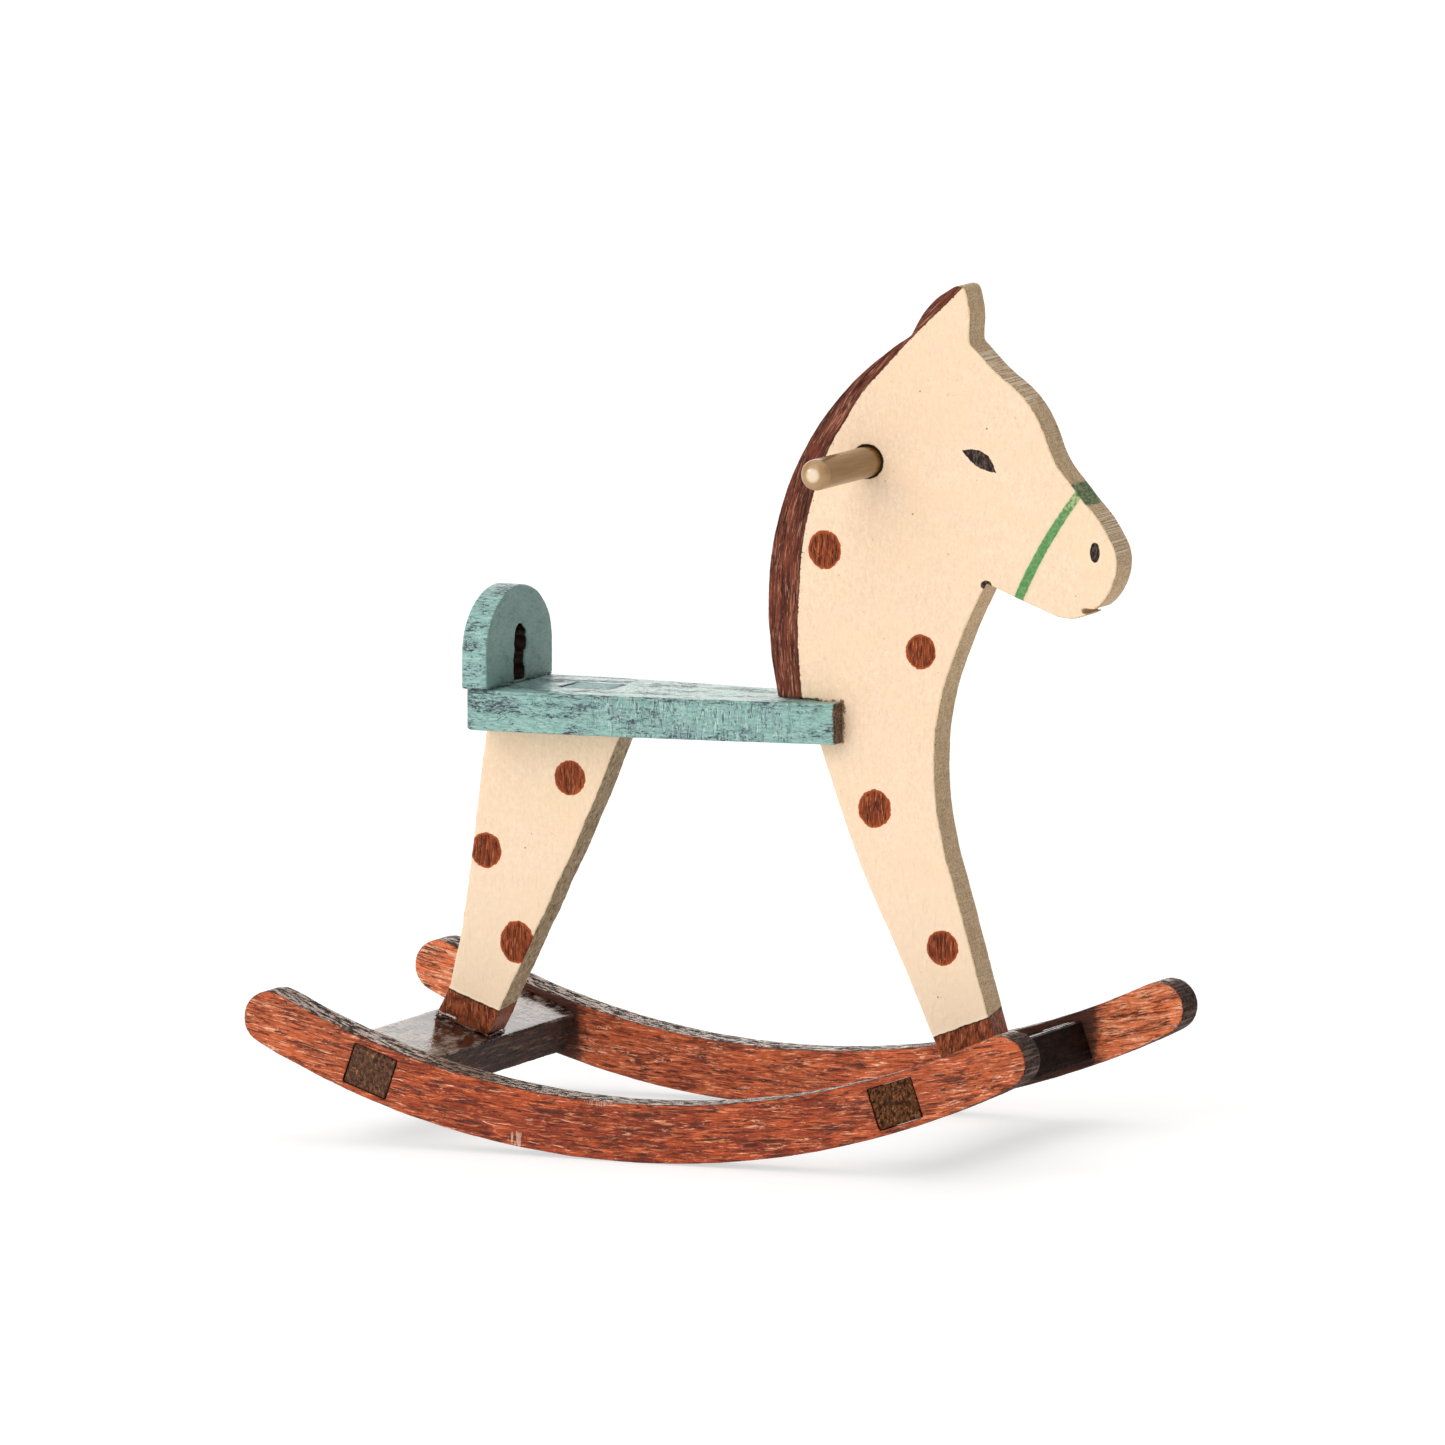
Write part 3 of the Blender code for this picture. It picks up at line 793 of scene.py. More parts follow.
def cream_paint(finish):
    """Opaque cream paint, faintly brushed and dented, with scattered specks, painted highlight glints and
    painted light that makes it lighter lower down.
    """
    brushed = finish.noise((2.6, 2.6, 0.4), 4.0, 0.65)
    mottled = finish.noise((2.4, 2.4, 1.5), 5.0, 0.75)
    cloudy = finish.noise(0.16)
    # painted highlights: pale glints scattered over the cream
    painted_glints = finish.noise(2.7, 3.0, 0.7)
    specks = step(finish.cells(0.3), 0.055, 0.025) * step(finish.noise(0.9, 1.0), 0.5, 0.58)
    colour = coated(
        ramp(mottled, 0.34, 0.66, (238, 209, 178), (250, 223, 195)),
        (step(cloudy, 0.4, 0.75) * 0.6, (248, 216, 182)),
        # painted light: the cream is lighter towards the bottom, to offset the shade that falls there
        (step(finish.z, 60.0, 14.0) * 0.7, (255, 231, 202)),
        (step(brushed, 0.56, 0.7) * 0.35, (232, 200, 164)),
        (step(painted_glints, 0.62, 0.7) * 0.6, (255, 246, 228)),
        (specks * 0.7, (120, 88, 62)),
    )
    wrinkles = finish.noise((1.1, 1.1, 0.8), 4.0, 0.6, 0.4)
    return colour, specks, wrinkles * 2.4 + (brushed * 0.7 + mottled)


def sawn_zones(finish, with_head):
    """Where the saw left pale lines across the edge: forehead, nose and part of the leg."""
    zone = step(finish.noise((0.16, 0.04, 0.16), 1.0), 0.5, 0.64) * 0.22
    for bottom, top in SAWN_BANDS if with_head else ():
        band = step(finish.z, bottom - 0.8, bottom + 0.8) * step(finish.z, top + 0.8, top - 0.8)
        zone = larger(zone, band)
    return zone


def bare_edge(finish, with_head):
    """Sawn bare board edge: taupe and speckled, with pale saw lines across it in places."""
    fine = finish.noise((4.6, 3.2, 4.6), 4.0, 0.75)
    slow = finish.noise((0.5, 0.7, 0.5), 3.0)
    lines = finish.noise((7.5, 0.12, 7.5), 1.0)
    zone = sawn_zones(finish, with_head)
    colour = coated(
        ramp(fine, 0.36, 0.64, (174, 146, 112), (224, 196, 160)),
        (step(slow, 0.5, 0.66) * 0.3, (158, 128, 98)),
        (step(lines, 0.53, 0.62) * zone * 0.6, (244, 230, 212)),
        (step(lines, 0.46, 0.36) * (zone * 0.35 + 0.1), (96, 76, 56)),
    )
    if not with_head:
        chips = finish.noise(1.3, 5.0, 0.75, 0.4)
        colour = coated(
            colour,
            (0.6, (148, 130, 104)),
            (step(chips, 0.5, 0.38) * 0.8, (104, 86, 66)),
            (step(chips, 0.55, 0.66) * 0.7, (222, 204, 178)),
        )
        lines = chips * 2.0 + lines
    pits = step(finish.cells((1.1, 1.0, 1.1)), 0.14, 0.08) * step(finish.noise(0.6, 1.0), 0.5, 0.6)
    return mix(pits * 0.9, colour, (52, 36, 28)), lines, pits


def stain(grain, fine, dark, middle, light):
    """Translucent stain that lets the grain show through."""
    return coated(
        ramp(grain, 0.38, 0.6, dark, middle),
        (step(fine, 0.55, 0.66) * 0.75, light),
        (step(fine, 0.42, 0.34) * 0.6, tuple(part * 0.5 for part in dark)),
    )


def add_hoof(finish, colour, hoof_line, across, fine_grain, ragged):
    """A glossy stained hoof under a crisp line, with a thin pale seam of paint above it that is whiter than
    the cream, partly a painted highlight.
    """
    height = finish.noise(0.8, 3.0, 0.6) * 0.4 + finish.above_line(*hoof_line)
    height = height - 0.15 * finish.y - 0.6
    # painted highlight: the pale seam is a ridge of paint lit up whiter than the cream
    seam = step(height, 0.42, 0.3) * step(across, 2.3, 2.5)
    hoof = step(height, 0.05, -0.03)
    tone = finish.noise((1.3, 1.3, 0.7), 4.0, 0.65)
    stained = coated(
        stain(tone, fine_grain, (86, 37, 19), (150, 76, 43), (202, 128, 94)),
        (step(height, -0.3, -0.12) * 0.7, (46, 22, 14)),
        (step(height + ragged, -2.2, -3.4) * 0.35, (58, 24, 14)),
    )
    return coated(colour, (seam * 0.55, (255, 240, 214)), (hoof, stained)), hoof, tone


def board_finish(name, spots, hoof_line, with_head):
    """A painted profile board: cream faces, bare sawn edges, stained spots and hooves."""
    finish = Finish(name)
    grain = finish.noise((3.4, 3.4, 0.4), 5.0, 0.7, 0.4)
    fine_grain = finish.noise((6.0, 6.0, 0.8), 3.0, 0.6)
    ragged = finish.noise(1.6, 3.0, 0.6) - 0.5
    across = abs(finish.y)
    rim_noise = finish.noise(0.9, 4.0, 0.7)
    reach = across + (rim_noise * 0.7 - 0.35)
    painted = step(reach, 2.46, 2.5)
    cream, specks, dents = cream_paint(finish)
    ridge = step(reach, 2.44, 2.5) * step(across, 2.64, 2.58)
    cream = mix(ridge * 0.5, cream, (240, 214, 156))
    edge, lines, pits = bare_edge(finish, with_head)
    # painted shadow: a thin dark line along the paint's border on the bare edge
    seam = step(reach, 2.32, 2.44) * step(rim_noise, 0.5, 0.62)
    edge = mix(seam * 0.75, edge, (78, 58, 42))
    roughness = 0.82 - 0.34 * painted

    on_face = step(across, 2.2, 2.5)
    distance = ragged * 0.22 + reduce(smaller, map(finish.ellipse, spots))
    stained = step(distance, 1.01, 0.98) * on_face
    spot_stain = stain(grain, fine_grain, (70, 27, 13), (148, 68, 32), (204, 120, 76))
    spot_stain = mix(step(distance, 0.82, 0.97) * 0.8, spot_stain, (184, 82, 34))
    colour = mix(stained, mix(painted, edge, cream), spot_stain)
    if with_head:
        colour, mane = add_mane(finish, colour, ragged, across)
        colour = add_face(finish, colour, ragged, on_face, across)
        colour = add_handle_hole(finish, colour, ragged)
        colour = add_lap_glue(finish, colour, on_face)
        stained = larger(stained, mane)
    else:
        colour, roughness = add_tenon_top(finish, colour, roughness, across)
    colour, hoof, hoof_tone = add_hoof(finish, colour, hoof_line, across, fine_grain, ragged)
    stained = larger(stained, hoof)
    roughness = (roughness - 0.08 * stained) * (1.0 - 0.55 * hoof)
    hollows = larger(specks, pits) * -1.0
    relief = mix(stained, mix(painted, lines, dents), fine_grain)
    finish.bumps((relief, 0.6, 0.13), (hollows, 0.5, 0.15), (hoof_tone * hoof, 0.6, 0.3))
    return finish.done(colour, roughness, 0.14)


def add_mane(finish, colour, ragged, across):
    """Dark stained mane with strands that follow its inner line."""
    behind = finish.x - finish.curve(finish.z, [(z, x) for x, z in MANE_LINE], MANE_SPAN)
    nicks = step(finish.noise(3.0, 3.0, 0.7), 0.58, 0.7) * -0.35
    wobble = ragged * 0.35 + behind + nicks
    ear_top = step(finish.x, 31.6, 31.9) * step(across, 2.6, 2.4)
    mane = step(wobble, 0.04, -0.04) * step(finish.z, 55.5, 56.0) * (1.0 - ear_top)

    def wisps(fineness, depth, length, *texture):
        place = finish.combine(behind * fineness, finish.y * depth, finish.z * length)
        return finish.noise(place, *texture)

    hair = wisps(2.6, 3.2, 0.22, 5.0, 0.8, 0.4)
    thin_hair = wisps(4.4, 4.4, 0.4, 3.0, 0.65)
    scratches = wisps(2.8, 3.0, 0.24, 4.0, 0.75, 0.6)
    glow = finish.noise((0.5, 0.5, 0.12), 2.0)
    strands = coated(
        stain(hair, thin_hair, (46, 20, 13), (120, 62, 42), (186, 126, 102)),
        (step(glow, 0.5, 0.66) * 0.3, (134, 62, 42)),
        (step(scratches, 0.6, 0.66) * 0.65, (206, 154, 134)),
        (step(scratches, 0.42, 0.36) * 0.9, (30, 14, 10)),
        (step(wobble, -0.35, -0.05) * 0.7, (66, 28, 18)),
    )
    return mix(mane, colour, strands), mane


def add_handle_hole(finish, colour, ragged):
    """Bare dark wall where the handle goes through the neck, and a ragged dark ring as painted shade of the
    gap around the handle.
    """
    low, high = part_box("handle_dowel")
    centre_x = (low.x + high.x) / 2 / MM + LAYOUT_SHIFT
    centre_z = (low.z + high.z) / 2 / MM
    width = (high.z - low.z) / MM + HOLE_RING
    # painted shade: a dark ring shifted to the upper right, for the shaded gap between the handle and the
    # hole
    ring = finish.ellipse((centre_x + 0.12, centre_z + 0.08, width, width))
    return mix(step(ragged * 0.12 + ring, 1.02, 0.96), colour, (46, 32, 24))


def add_lap_glue(finish, colour, on_face):
    """Brown stain and crumbs of glue around the seat's prongs, which clasp the board."""
    low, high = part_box("seat")
    front = high.x / MM + LAYOUT_SHIFT
    middle = (low.z + high.z) / 2 / MM
    half = (high.z - low.z) / 2 / MM
    crumbs = finish.noise(1.7, 4.0, 0.78)
    past = larger(finish.x - front, abs(finish.z - middle) - half)
    glued = step(crumbs * 1.9 + past, 1.2, 1.0) * on_face
    return mix(glued * 0.85, colour, ramp(crumbs, 0.36, 0.56, (58, 36, 22), (150, 108, 70)))


def add_tenon_top(finish, colour, roughness, across):
    """The tenon shows in the seat under the same paint; brown glue lines its shoulder."""
    dashes = finish.noise((1.1, 2.6, 1.0), 4.0, 0.75)
    top = step(finish.z, 55.6, 55.9)
    crumbs = finish.noise(1.5, 4.0, 0.75)
    under = step(crumbs * 1.5 + finish.z, 51.3, 51.9) * step(across, 2.5, 2.6)
    colour = coated(
        colour,
        (top, ramp(dashes, 0.46, 0.62, (144, 186, 178), (84, 104, 110))),
        (under * 0.8, (120, 82, 50)),
    )
    return colour, mix(top, roughness, 0.5)


def eye_shape(finish, ragged):
    """Above zero inside the almond of the eye."""
    cosine, sine = math.cos(EYE_TILT), math.sin(EYE_TILT)
    dx = finish.x - EYE_CENTRE[0]
    dz = finish.z - EYE_CENTRE[1]
    along = (dx * cosine + dz * sine) * (1.0 / EYE_HALF_LENGTH)
    up = dz * cosine - dx * sine
    bow = 1.0 - along * along
    upper = bow * EYE_LID_HEIGHTS[0] - up
    lower = bow * EYE_LID_HEIGHTS[1] + up
    return ragged * 0.5 + smaller(upper, lower)


def add_halter(finish, colour, ragged, on_face, across):
    """Green strap from the bridge of the nose to the jaw, with a duller wrap over the bridge."""
    (x0, z0), (x1, z1) = HALTER
    length = math.hypot(x1 - x0, z1 - z0)
    side_x, side_z = (z1 - z0) / length, (x0 - x1) / length
    aside = finish.x * side_x + finish.z * side_z - (x0 * side_x + z0 * side_z)
    halfway = finish.z * (2.0 / (z0 - z1)) - (z0 + z1) / (z0 - z1)
    aside = aside + halfway * halfway * HALTER_BOW - HALTER_BOW
    aside = abs(ragged * 0.25 + aside)
    half = HALTER_WIDTH / 2
    on_head = step(finish.x, 40.0, 40.2) * on_face
    tone = finish.noise(2.2, 4.0, 0.65)
    washy_top = step(finish.z, 80.0, 83.6) * step(tone, 0.4, 0.62)
    strap = step(aside, half + 0.06, half - 0.06) * on_head * (1.0 - 0.45 * washy_top)
    height = abs(finish.z - (ragged * 1.2 + BRIDGE_WRAP_Z))
    bridge = step(height, 1.35, 1.2) * step(finish.x, 45.0, 45.5) * step(across, 2.62, 2.5)
    wrap_tone = finish.noise((2.6, 1.0, 2.6), 4.0, 0.7)
    return coated(
        colour,
        (step(aside, half + 0.5, half) * on_head * 0.4, (196, 204, 152)),
        (strap, ramp(tone, 0.36, 0.7, (84, 138, 80), (118, 162, 108))),
        (bridge, ramp(wrap_tone, 0.38, 0.62, (86, 104, 72), (134, 148, 112))),
    )


def add_face(finish, colour, ragged, on_face, across):
    """Halter, eye, nostril and a nick at the throat, on both sides of the head."""
    colour = add_halter(finish, colour, ragged, on_face, across)
    eye = step(eye_shape(finish, ragged), 0.0, 0.08)
    nostril = step(ragged * 0.3 + finish.ellipse(NOSTRIL), 1.04, 0.94)
    nick = step(ragged * 0.5 + finish.ellipse(THROAT_NICK), 1.05, 0.85)
    blotches = finish.noise((4.0, 4.0, 1.6), 3.0)
    dark = ramp(blotches, 0.42, 0.66, (34, 24, 22), (92, 76, 66))
    return mix(larger(larger(eye, nostril), nick) * on_face, colour, dark)


def above_arc(finish, follow=1.0):
    """Height above the rockers' arc, or above a flatter one."""
    return finish.x * finish.x * (-0.5 * follow / ARC_CENTRE_Z) + finish.z


def arc_noise(finish, height, along, across, deep, *texture):
    """Noise with its cells to the millimetre along the arc, across it and through the board."""
    place = finish.combine(finish.x * along, height * across, finish.y * deep)
    return finish.noise(place, *texture)


def rocker_side(finish, painted_light_lift, pale_ends):
    """Red-brown stain brushed roughly along the runner's sides, paler towards its ends; painted_light_lift
    makes it paler all over as painted light.
    """
    height = above_arc(finish, 0.5)
    broad = arc_noise(finish, height, 0.12, 0.45, 0.5, 5.0, 0.62, 0.4)
    streaks = arc_noise(finish, height, 0.2, 1.2, 1.0, 5.0, 0.7, 0.9)
    fine = arc_noise(finish, height, 0.4, 3.4, 2.0, 4.0, 0.7, 0.8)
    pale = arc_noise(finish, height, 0.24, 1.9, 3.0, 5.0, 0.78, 1.1)
    # painted light: painted_light_lift makes the whole side paler, on the left runner
    ends = step(abs(finish.x), 24.0, 48.0) * pale_ends + painted_light_lift
    colour = coated(
        ramp(broad, 0.4, 0.62, (138, 50, 20), (184, 78, 36)),
        (ends, (228, 118, 68)),
        (step(streaks, 0.49, 0.39) * 0.8, (88, 30, 13)),
        (step(fine, 0.54, 0.62) * 0.7, (232, 134, 88)),
        (step(ends * 0.06 + (pale - 0.01), 0.57, 0.63) * 0.95, (252, 184, 146)),
        (step(fine, 0.46, 0.39) * 0.85, (56, 19, 8)),
    )
    return colour, streaks, fine


def crossbar_smear(finish, middle_y, edge_noise):
    """Dark lacquer that ran onto the runner's inner side around both crossbars."""
    inner = step(finish.y * math.copysign(1.0, middle_y), abs(middle_y), abs(middle_y) - 1.0)
    aside = edge_noise * 2.6 + abs(abs(finish.x) - CROSSBAR_X)
    return step(aside, 8.2, 6.4) * inner * 0.9


def rocker_finish(name, node, painted_light_lift, pale_ends, chips=()):
    """Streaked stain on the runner's sides, dark chipped lacquer on its edges, with pale flecks on the
    upper edge that are partly dust and partly painted sheen.
    """
    finish = Finish(name)
    low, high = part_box(node)
    middle_y = (low.y + high.y) / 2 / MM
    half = (high.y - low.y) / 2 / MM
    away = abs(finish.y - middle_y)
    colour, streaks, fine = rocker_side(finish, painted_light_lift, pale_ends)
    ticks = step(finish.noise((3.6, 0.1, 0.3), 1.0), 0.5, 0.58) * step(finish.y, -28.3, -28.6)
    for chip in chips:
        nicked = step(finish.ellipse(chip), 1.0, 0.8) * ticks
        colour = mix(nicked * 0.5, colour, (244, 206, 186))

    height = above_arc(finish)
    edge_noise = finish.noise(1.4, 4.0, 0.7)
    on_edge = step(edge_noise * 0.5 + away, half + 0.1, half)
    creep = step(edge_noise * 0.9 + away, half + 0.5, half + 0.15)
    soot = arc_noise(finish, height, 0.8, 2.0, 1.6, 4.0, 0.65, 0.3)
    ridges = arc_noise(finish, height, 0.5, 1.3, 1.6, 3.0, 0.6, 0.3)
    ribs = arc_noise(finish, height, 2.4, 2.4, 0.12, 2.0)
    tip = step(abs(finish.x), 50.0, 52.0)
    # painted sheen and dust: pale flecks on the upper edge stand partly for the lacquer's sheen
    pale_marks_and_sheen = step(ridges * 0.4 + soot * 0.6, 0.475, 0.53) * (0.95 - 0.95 * tip) * step(height, 2.0, 6.0)
    ribbed = step(ribs, 0.52, 0.6) * step(abs(finish.x), 46.0, 49.0)
    lacquer = coated(
        ramp(soot, 0.42, 0.6, (20, 10, 6), (84, 50, 34)),
        (pale_marks_and_sheen, (166, 132, 108)),
        (ribbed * 0.6, (132, 108, 92)),
    )
    colour = coated(
        colour,
        (creep * 0.5, (70, 32, 20)),
        (crossbar_smear(finish, middle_y, edge_noise), (38, 16, 9)),
        (on_edge, lacquer),
    )
    finish.bumps(
        (ridges * on_edge, 1.0, 0.9),
        (mix(on_edge, streaks, soot), 0.8, 0.4),
        (fine, 0.6, 0.12),
        (ribs * on_edge, 0.8, 0.3),
    )
    return finish.done(colour, mix(on_edge, 0.56, 0.78 - 0.62 * pale_marks_and_sheen), 0.28)


def crossbar_finish(name, end, dark, light, pale_marks_and_sheen, specular):
    """Glossy dark lacquer on top, paler towards the ends with dust and a painted sheen; dull mottled sides
    and tenon ends.
    """
    finish = Finish(name)
    away = abs(finish.y)
    slope = end * math.tan(CROSSBAR_TILT)
    middle = (end * CROSSBAR_X, CROSSBAR_TOP_Z)
    top = finish.above_line(middle, (middle[0] + 1.0, middle[1] + slope))
    top = step(top, -0.35, -0.15)
    tone = finish.noise((1.5, 0.45, 1.5), 4.0, 0.65)
    flecks = finish.noise((1.9, 0.9, 1.9), 4.0, 0.7)
    outward = step(away, 5.0, 18.0)
    smears = finish.noise((0.8, 0.25, 0.8), 4.0, 0.6)
    # painted sheen and dust: the worn mask lays pale patches on the top, growing towards the ends
    worn = step(outward * 0.1 + smears, 0.5, 0.7) * (top * pale_marks_and_sheen)
    drawn = finish.noise((2.6, 0.16, 2.6), 4.0, 0.7)
    end_grain = finish.noise((2.6, 2.0, 1.5), 5.0, 0.75, 0.5)
    at_end = step(away, 28.3, 28.6)
    tenon = coated(
        ramp(end_grain, 0.43, 0.58, (44, 22, 12), (132, 82, 50)),
        (step(end_grain, 0.6, 0.66) * 0.8, (204, 158, 118)),
        (step(finish.noise(0.7, 3.0), 0.46, 0.62) * 0.5, (88, 58, 36)),
    )
    colour = coated(
        ramp(tone, 0.4, 0.62, dark, light),
        # the pale colour of the worn mask is painted sheen and dust
        (worn, (196, 180, 168)),
        (step(drawn, 0.54, 0.64) * (pale_marks_and_sheen - pale_marks_and_sheen * top), (146, 122, 104)),
        (step(flecks, 0.43, 0.34) * 0.8, (10, 6, 4)),
        (at_end, tenon),
    )
    roughness = 0.72 - 0.6 * top + worn * 0.16
    ripples = finish.noise((1.9, 0.8, 1.9), 2.0, 0.6, 0.4) * (outward * 0.8 + 0.2)
    finish.bumps(
        (ripples, 0.5, 0.12),
        (flecks * (1.0 - top), 0.8, 0.5),
        (end_grain * at_end, 0.8, 0.4),
    )
    return finish.done(colour, roughness, specular)


def contour(noise, level, width):
    """Thin wandering lines where a noise crosses a level."""
    return step(abs(noise - level), width, 0.4 * width)


def teal_finish(name):
    """Teal paint over dark wood, rubbed through in fine dashes that follow the grain."""
    finish = Finish(name)
    brush = finish.noise((0.7, 3.0, 3.0), 4.0, 0.7)
    cloud = finish.noise(0.3, 3.0)
    zone = finish.noise((0.14, 0.35, 0.5), 5.0, 0.7)
    to_rear = step(finish.x, 8.0, -24.0)
    dense = step(zone, 0.42, 0.62) * 0.15 + to_rear * 0.035
    dashes = finish.noise((1.1, 2.6, 4.2), 4.0, 0.78, 0.7) + dense
    dashes = dashes - 0.05 * step(finish.x, -31.2, -31.6)
    wavy = finish.noise((0.42, 1.2, 1.7), 3.0, 0.6, 0.9)
    cracks = contour(wavy, 0.5, 0.022) * step(dashes, 0.53, 0.6) * to_rear
    worn = step(dashes, 0.675, 0.7)
    colour = coated(
        ramp(brush, 0.36, 0.64, (126, 170, 162), (162, 200, 192)),
        (step(cloud, 0.5, 0.72) * 0.4, (138, 162, 170)),
        (step(dashes, 0.56, 0.68) * 0.55, (98, 118, 124)),
        (cracks * 0.85, (52, 62, 68)),
        (worn * 0.9, (50, 48, 58)),
    )
    return finish, colour, dashes, worn


def tenon_outline(finish, crumbs):
    """Broken dark line in the paint over the joint between the seat and the rear tenon."""
    past_x = abs(finish.x - TENON_CENTRE_X) - TENON_HALF_LENGTH
    past_y = abs(finish.y) - TENON_HALF_WIDTH
    past = abs(larger(past_x, past_y))
    return step(crumbs * 0.9 + past, 0.95, 0.7) * step(finish.z, 55.9, 56.1) * 0.85


def seat_finish():
    """Teal seat with painted highlights and painted shade on the ridges of its front half; bare brown wood
    and glue show at the ends of its prongs.
    """
    finish, colour, dashes, worn = teal_finish("seat_paint")
    crumbs = finish.noise(2.8, 4.0, 0.75)
    ribs = finish.noise((1.2, 1.2, 0.2), 3.0, 0.55, 0.5)
    broken = finish.noise(0.9, 3.0, 0.6)
    in_front = step(finish.x, -17.0, -11.0) * step(finish.x, 17.0, 9.0)
    # painted highlights and painted shade along the ridges of the front half
    for level in (0.41, 0.52):
        painted_rib_highlight = contour(ribs, level + 0.035, 0.02) * in_front * step(broken, 0.44, 0.56)
        painted_rib_shade = contour(ribs, level, 0.024) * in_front * step(broken, 0.42, 0.54)
        colour = coated(colour, (painted_rib_highlight * 0.5, (200, 224, 218)), (painted_rib_shade * 0.8, (70, 96, 98)))
    yellowed = step(crumbs, 0.6, 0.68) * step(finish.x, 13.0, 14.5) * step(finish.z, 54.3, 55.0)
    outline = tenon_outline(finish, crumbs)
    on_top = step(finish.z, 55.9, 56.1)
    upper = step(dashes, 0.61, 0.68) * on_top
    bare = ramp(crumbs, 0.44, 0.62, (40, 27, 19), (124, 92, 60))
    colour = coated(
        colour,
        (yellowed * 0.6, (200, 200, 140)),
        (outline, (70, 88, 94)),
        (upper * 0.75, (70, 92, 96)),
        (step(crumbs * 1.3 + finish.x, 18.05, 18.25), bare),
    )
    wrinkled = finish.noise((0.8, 1.6, 1.0), 4.0, 0.7) * on_top - 0.4 * outline
    finish.bumps((ribs * in_front, 0.9, 0.5), (wrinkled, 0.8, 0.4), (dashes, 0.6, 0.2))
    return finish.done(colour, larger(worn, upper) * 0.36 + 0.25, 0.3)


def backrest_finish():
    """Teal backrest with its front face painted darker as painted shade; the tail slot is stained dark
    inside, with teal overspray at its top.
    """
    finish, colour, dashes, worn = teal_finish("backrest_paint")
    quiet = finish.noise((1.4, 0.8, 2.2), 4.0, 0.7)
    ragged = finish.noise(1.2, 4.0, 0.7)
    deep = step(ragged * 0.5 + finish.x, -28.0, -28.15) * step(finish.x, -30.7, -30.5)
    in_slot = deep * step(abs(finish.y), 2.9, 2.85) * step(finish.z, 64.4, 64.15)
    # painted shade: the front face is a darker teal
    front = ramp(quiet, 0.36, 0.66, (114, 150, 142), (132, 168, 160))
    colour = coated(
        colour,
        (step(finish.x, -28.35, -28.2) * 0.86, front),
        (in_slot, ramp(ragged, 0.4, 0.62, (16, 8, 6), (58, 28, 20))),
    )
    finish.bumps((dashes, 0.5, 0.15), (quiet, 0.4, 0.15))
    return finish.done(colour, worn * 0.25 + 0.36, 0.3)


def dowel_finish(name):
    """Smooth olive-brown lacquered stick with paler domed ends, each with a painted highlight in its
    middle.
    """
    finish = Finish(name)
    streak = finish.noise((2.2, 0.12, 2.2), 4.0, 0.6)
    dots = finish.noise(4.0, 3.0)
    away = abs(finish.y)
    colour = coated(
        ramp(streak, 0.34, 0.66, (120, 86, 38), (136, 101, 50)),
        (step(dots, 0.62, 0.72) * 0.3, (96, 72, 46)),
        (step(away, 18.5, 19.1) * 0.9, (178, 142, 100)),
        # painted highlight: a near-white disc in the middle of each domed end
        (step(away, 19.85, 19.99) * 0.8, (242, 222, 196)),
    )
    finish.bumps((streak, 0.15, 0.1), (dots, 0.2, 0.06))
    return finish.done(colour, dots * 0.1 + 0.14, 0.5)


def glue_finish(name, dark, light, roughness):
    """Hardened glue mixed with stain."""
    finish = Finish(name)
    tone = finish.noise(3.0, 4.0, 0.7)
    finish.bumps((tone, 0.5, 0.2))
    return finish.done(ramp(tone, 0.4, 0.6, dark, light), tone * 0.2 + roughness, 0.5)


# ---------------- glue


def foot_corner(x, y, rise):
    """A point over the rear crossbar's upper face, in the world's millimetres."""
    z = CROSSBAR_TOP_Z + (abs(x) - CROSSBAR_X) * math.tan(CROSSBAR_TILT) + rise
    return (x - LAYOUT_SHIFT, y, z)


def build_glue():
    """Squeezed-out glue: dark teal under the backrest, brown lacquer around the rear hoof, and a pale blob
    at its corner whose whiteness is partly a painted highlight.
    """
    teal = glue_finish("backrest_glue", (34, 46, 48), (96, 128, 124), 0.25)
    brown = glue_finish("hoof_glue", (40, 20, 12), (96, 58, 38), 0.06)
    low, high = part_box("backrest")
    front, bottom = high.x / MM + 0.02, low.z / MM + 0.05
    half = high.y / MM
    sides = (("right", -half + 0.4, -2.6), ("left", 2.6, half - 0.2))
    for index, (side_name, start, end) in enumerate(sides):
        path = [(front, start, bottom), (front, end, bottom)]
        build_bead(f"backrest_glue_{side_name}", path, 0.42, teal, 810 + index)
    rear_x, front_x = REAR_HOOF_ENDS
    near, far = -HOOF_HALF_WIDTH, HOOF_HALF_WIDTH
    corners = ((rear_x, near), (front_x, near), (front_x, far), (rear_x, far), (rear_x, near))
    round_hoof = [foot_corner(x, y, 0.2) for x, y in corners]
    build_bead("rear_hoof_glue", round_hoof, 0.5, brown, 821)
    # painted highlight: the blob's pale colour stands partly for the glint on the glue
    pale = glue_finish("glue_with_painted_highlight", (120, 84, 66), (236, 222, 208), 0.05)
    blob = [foot_corner(-38.6, near - 0.05, 0.75), foot_corner(-35.9, near - 0.08, 0.45)]
    build_bead("rear_hoof_blob", blob, 0.5, pale, 823)


# ---------------- stage


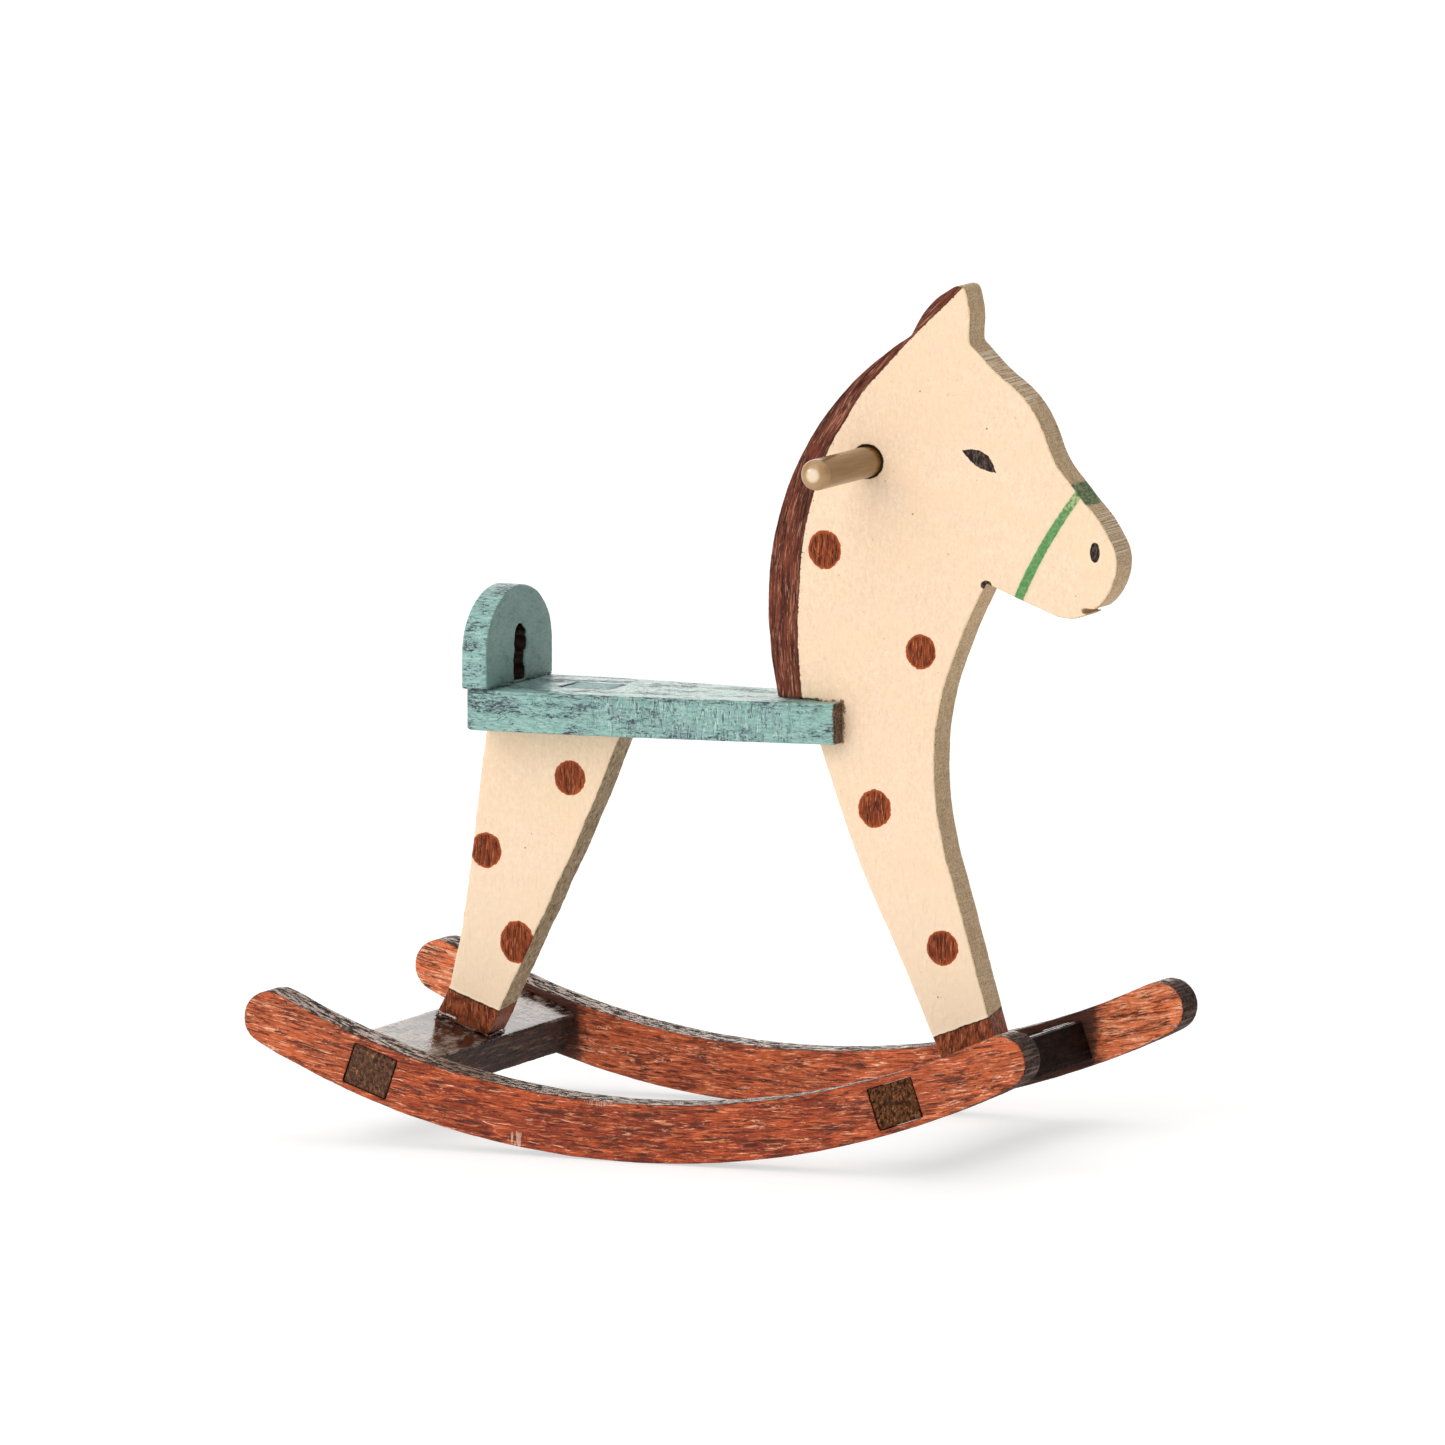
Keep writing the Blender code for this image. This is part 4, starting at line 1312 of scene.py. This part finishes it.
def build_camera():
    """A long lens turned about the horse; its right and up shifts frame it as in the photo."""
    sine_a, cosine_a = math.sin(CAMERA_AZIMUTH), math.cos(CAMERA_AZIMUTH)
    sine_e, cosine_e = math.sin(CAMERA_ELEVATION), math.cos(CAMERA_ELEVATION)
    back = Vector((sine_a * cosine_e, -cosine_a * cosine_e, sine_e))
    right = Vector((cosine_a, sine_a, 0.0))
    up = back.cross(right)
    lens = bpy.data.cameras.new("camera")
    lens.lens = CAMERA_LENS
    lens.sensor_width = 36.0
    lens.clip_end = 20.0
    camera = add_to_scene("camera", lens)
    camera.location = back * CAMERA_DISTANCE + right * CAMERA_RIGHT + up * CAMERA_UP
    camera.location.x -= LAYOUT_SHIFT * MM
    camera.rotation_euler = Matrix((right, up, back)).transposed().to_euler()
    bpy.context.scene.camera = camera


def build_sun(name, toward, strength, spread, colour):
    """A soft distant light that shines from the direction toward."""
    data = bpy.data.lights.new(name, "SUN")
    data.energy = strength
    data.angle = math.radians(spread)
    data.color = colour
    light = add_to_scene(name, data)
    light.location = Vector(toward)
    light.rotation_euler = Vector(toward).to_track_quat("Z", "Y").to_euler()
    return data


def build_sky():
    """A dim room with a bright white backdrop behind the horse; the camera sees it all white."""
    world = bpy.data.worlds.new("studio")
    sky = NodeWriter(world)
    direction = sky.node("TexCoord", {}, "Generated")
    backdrop = (-math.sin(CAMERA_AZIMUTH), math.cos(CAMERA_AZIMUTH), 0.0)
    towards = sky.vector_math("DOT_PRODUCT", direction, backdrop, output=1)
    glow = step(towards, BACKDROP_FROM, BACKDROP_FULL) * (BACKDROP_STRENGTH - ROOM_STRENGTH) + ROOM_STRENGTH
    seen = sky.node("LightPath", {}, "Is Camera Ray")
    background = sky.tree.nodes["Background"]
    sky.feed(background.inputs["Color"], (1.0, 0.975, 0.945, 1.0))
    sky.feed(background.inputs["Strength"], glow + seen * (WHITE_SEEN - glow))
    bpy.context.scene.world = world


def build_floor():
    """A wide white card that glows a little, so that it blends into the backdrop."""
    mesh = bpy.data.meshes.new("floor")
    body = bmesh.new()
    bmesh.ops.create_grid(body, x_segments=8, y_segments=8, size=6.0)
    body.to_mesh(mesh)
    body.free()
    finish = Finish("floor_card")
    colour = ramp(finish.noise(0.02), 0.2, 0.8, (185, 185, 185), (188, 188, 188))
    mesh.materials.append(finish.done(colour, 0.9, 0.1))
    finish.feed(finish.shader.inputs["Emission Color"], (1.0, 1.0, 1.0, 1.0))
    finish.feed(finish.shader.inputs["Emission Strength"], FLOOR_GLOW)
    floor = add_to_scene("floor", mesh)


def build_stage():
    """Camera, floor, sky and the three suns."""
    build_camera()
    build_floor()
    build_sky()
    white = (1.0, 1.0, 1.0)
    build_sun("key", (-0.3, -0.85, 0.5), KEY_STRENGTH, 55.0, (1.0, 0.975, 0.94))
    build_sun("top", (0.0, 0.15, 1.0), TOP_STRENGTH, 80.0, white)
    build_sun("spark", (-0.62, -0.76, 0.2), SPARK_STRENGTH, 5.0, white).use_shadow = False
    bpy.context.scene.view_settings.view_transform = "Standard"
    bpy.context.scene.view_settings.look = "None"


# ---------------- the horse


def build_profile_boards():
    """The two painted boards: the horse's head and front leg, and its rear leg."""
    horse = board_finish("horse_board_paint", NECK_SPOTS, FRONT_HOOF_LINE, with_head=True)
    build_board("horse", "horse_board", FACING_RIGHT, horse, 100, saw_relief(101))
    rear = board_finish("rear_leg_paint", REAR_SPOTS, REAR_HOOF_LINE, with_head=False)
    filed = saw_relief(201, ripple=0.01, waves=0.1, extra=rear_leg_extra)
    build_board("rear_legs", "rear_leg", FACING_RIGHT, rear, 200, filed)


def build_seat():
    """The teal seat board and the backrest with its tail slot."""
    ridged = saw_relief(301, ripple=0.01, waves=0.05, extra=seat_extra)
    build_board("seat_board", "seat", FACING_UP, seat_finish(), 300, ridged, cut_at=0.1)
    plain = saw_relief(401, ripple=0.01, waves=0.05)
    slots = [(tail_slot_loop(), TAIL_SLOT_DEPTH)]
    paint = backrest_finish()
    build_board("backrest_board", "backrest", FACING_FRONT, paint, 400, plain, cut_at=0.1, slots=slots)


def build_rockers():
    """Both runners; the left one is paler all over as painted light, the right one chipped."""
    for side, seed, *looks in (("left", 500, 0.26, 0.7), ("right", 600, 0.0, 0.4, NEAR_CHIPS)):
        node = f"rocker_{side}"
        red = rocker_finish(f"{node}_stain", node, *looks)
        relief = saw_relief(seed + 1, ripple=0.022, waves=0.05, everywhere=0.4, extra=rocker_extra)
        build_board(f"runner_{side}", node, FACING_RIGHT, red, seed, relief)


def build_crossbars():
    """The two tilted crossbars with their foot mortises."""
    near_black = ((12, 3, 1), (38, 12, 4), 0.05, 0.08)
    dark_brown = ((26, 9, 3), (72, 34, 17), 0.5, 0.38)
    for place, end, seed, tones in (("front", 1.0, 700, near_black), ("rear", -1.0, 800, dark_brown)):
        sine, cosine = math.sin(end * CROSSBAR_TILT), math.cos(end * CROSSBAR_TILT)
        axes = np.array([(cosine, 0.0, sine), (0.0, 1.0, 0.0), (-sine, 0.0, cosine)])
        node = f"crossbar_{place}"
        dark = crossbar_finish(f"{node}_stain", end, *tones)
        relief = saw_relief(seed + 1, ripple=0.01, waves=0.03)
        pocket = {"cut_at": 0.8, "pocket_depth": FOOT_MORTISE_DEPTH, "rounding": 2}
        build_board(f"bar_{place}", node, axes, dark, seed, relief, **pocket)


build_stage()
build_profile_boards()
build_seat()
build_rockers()
build_crossbars()
wood = dowel_finish("dowel_wood")
build_dowel(wood)
build_glue()
for pin in ("backrest_pin_left", "backrest_pin_right"):
    pin_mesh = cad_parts[pin].data
    pin_mesh.materials.clear()
    pin_mesh.materials.append(wood)
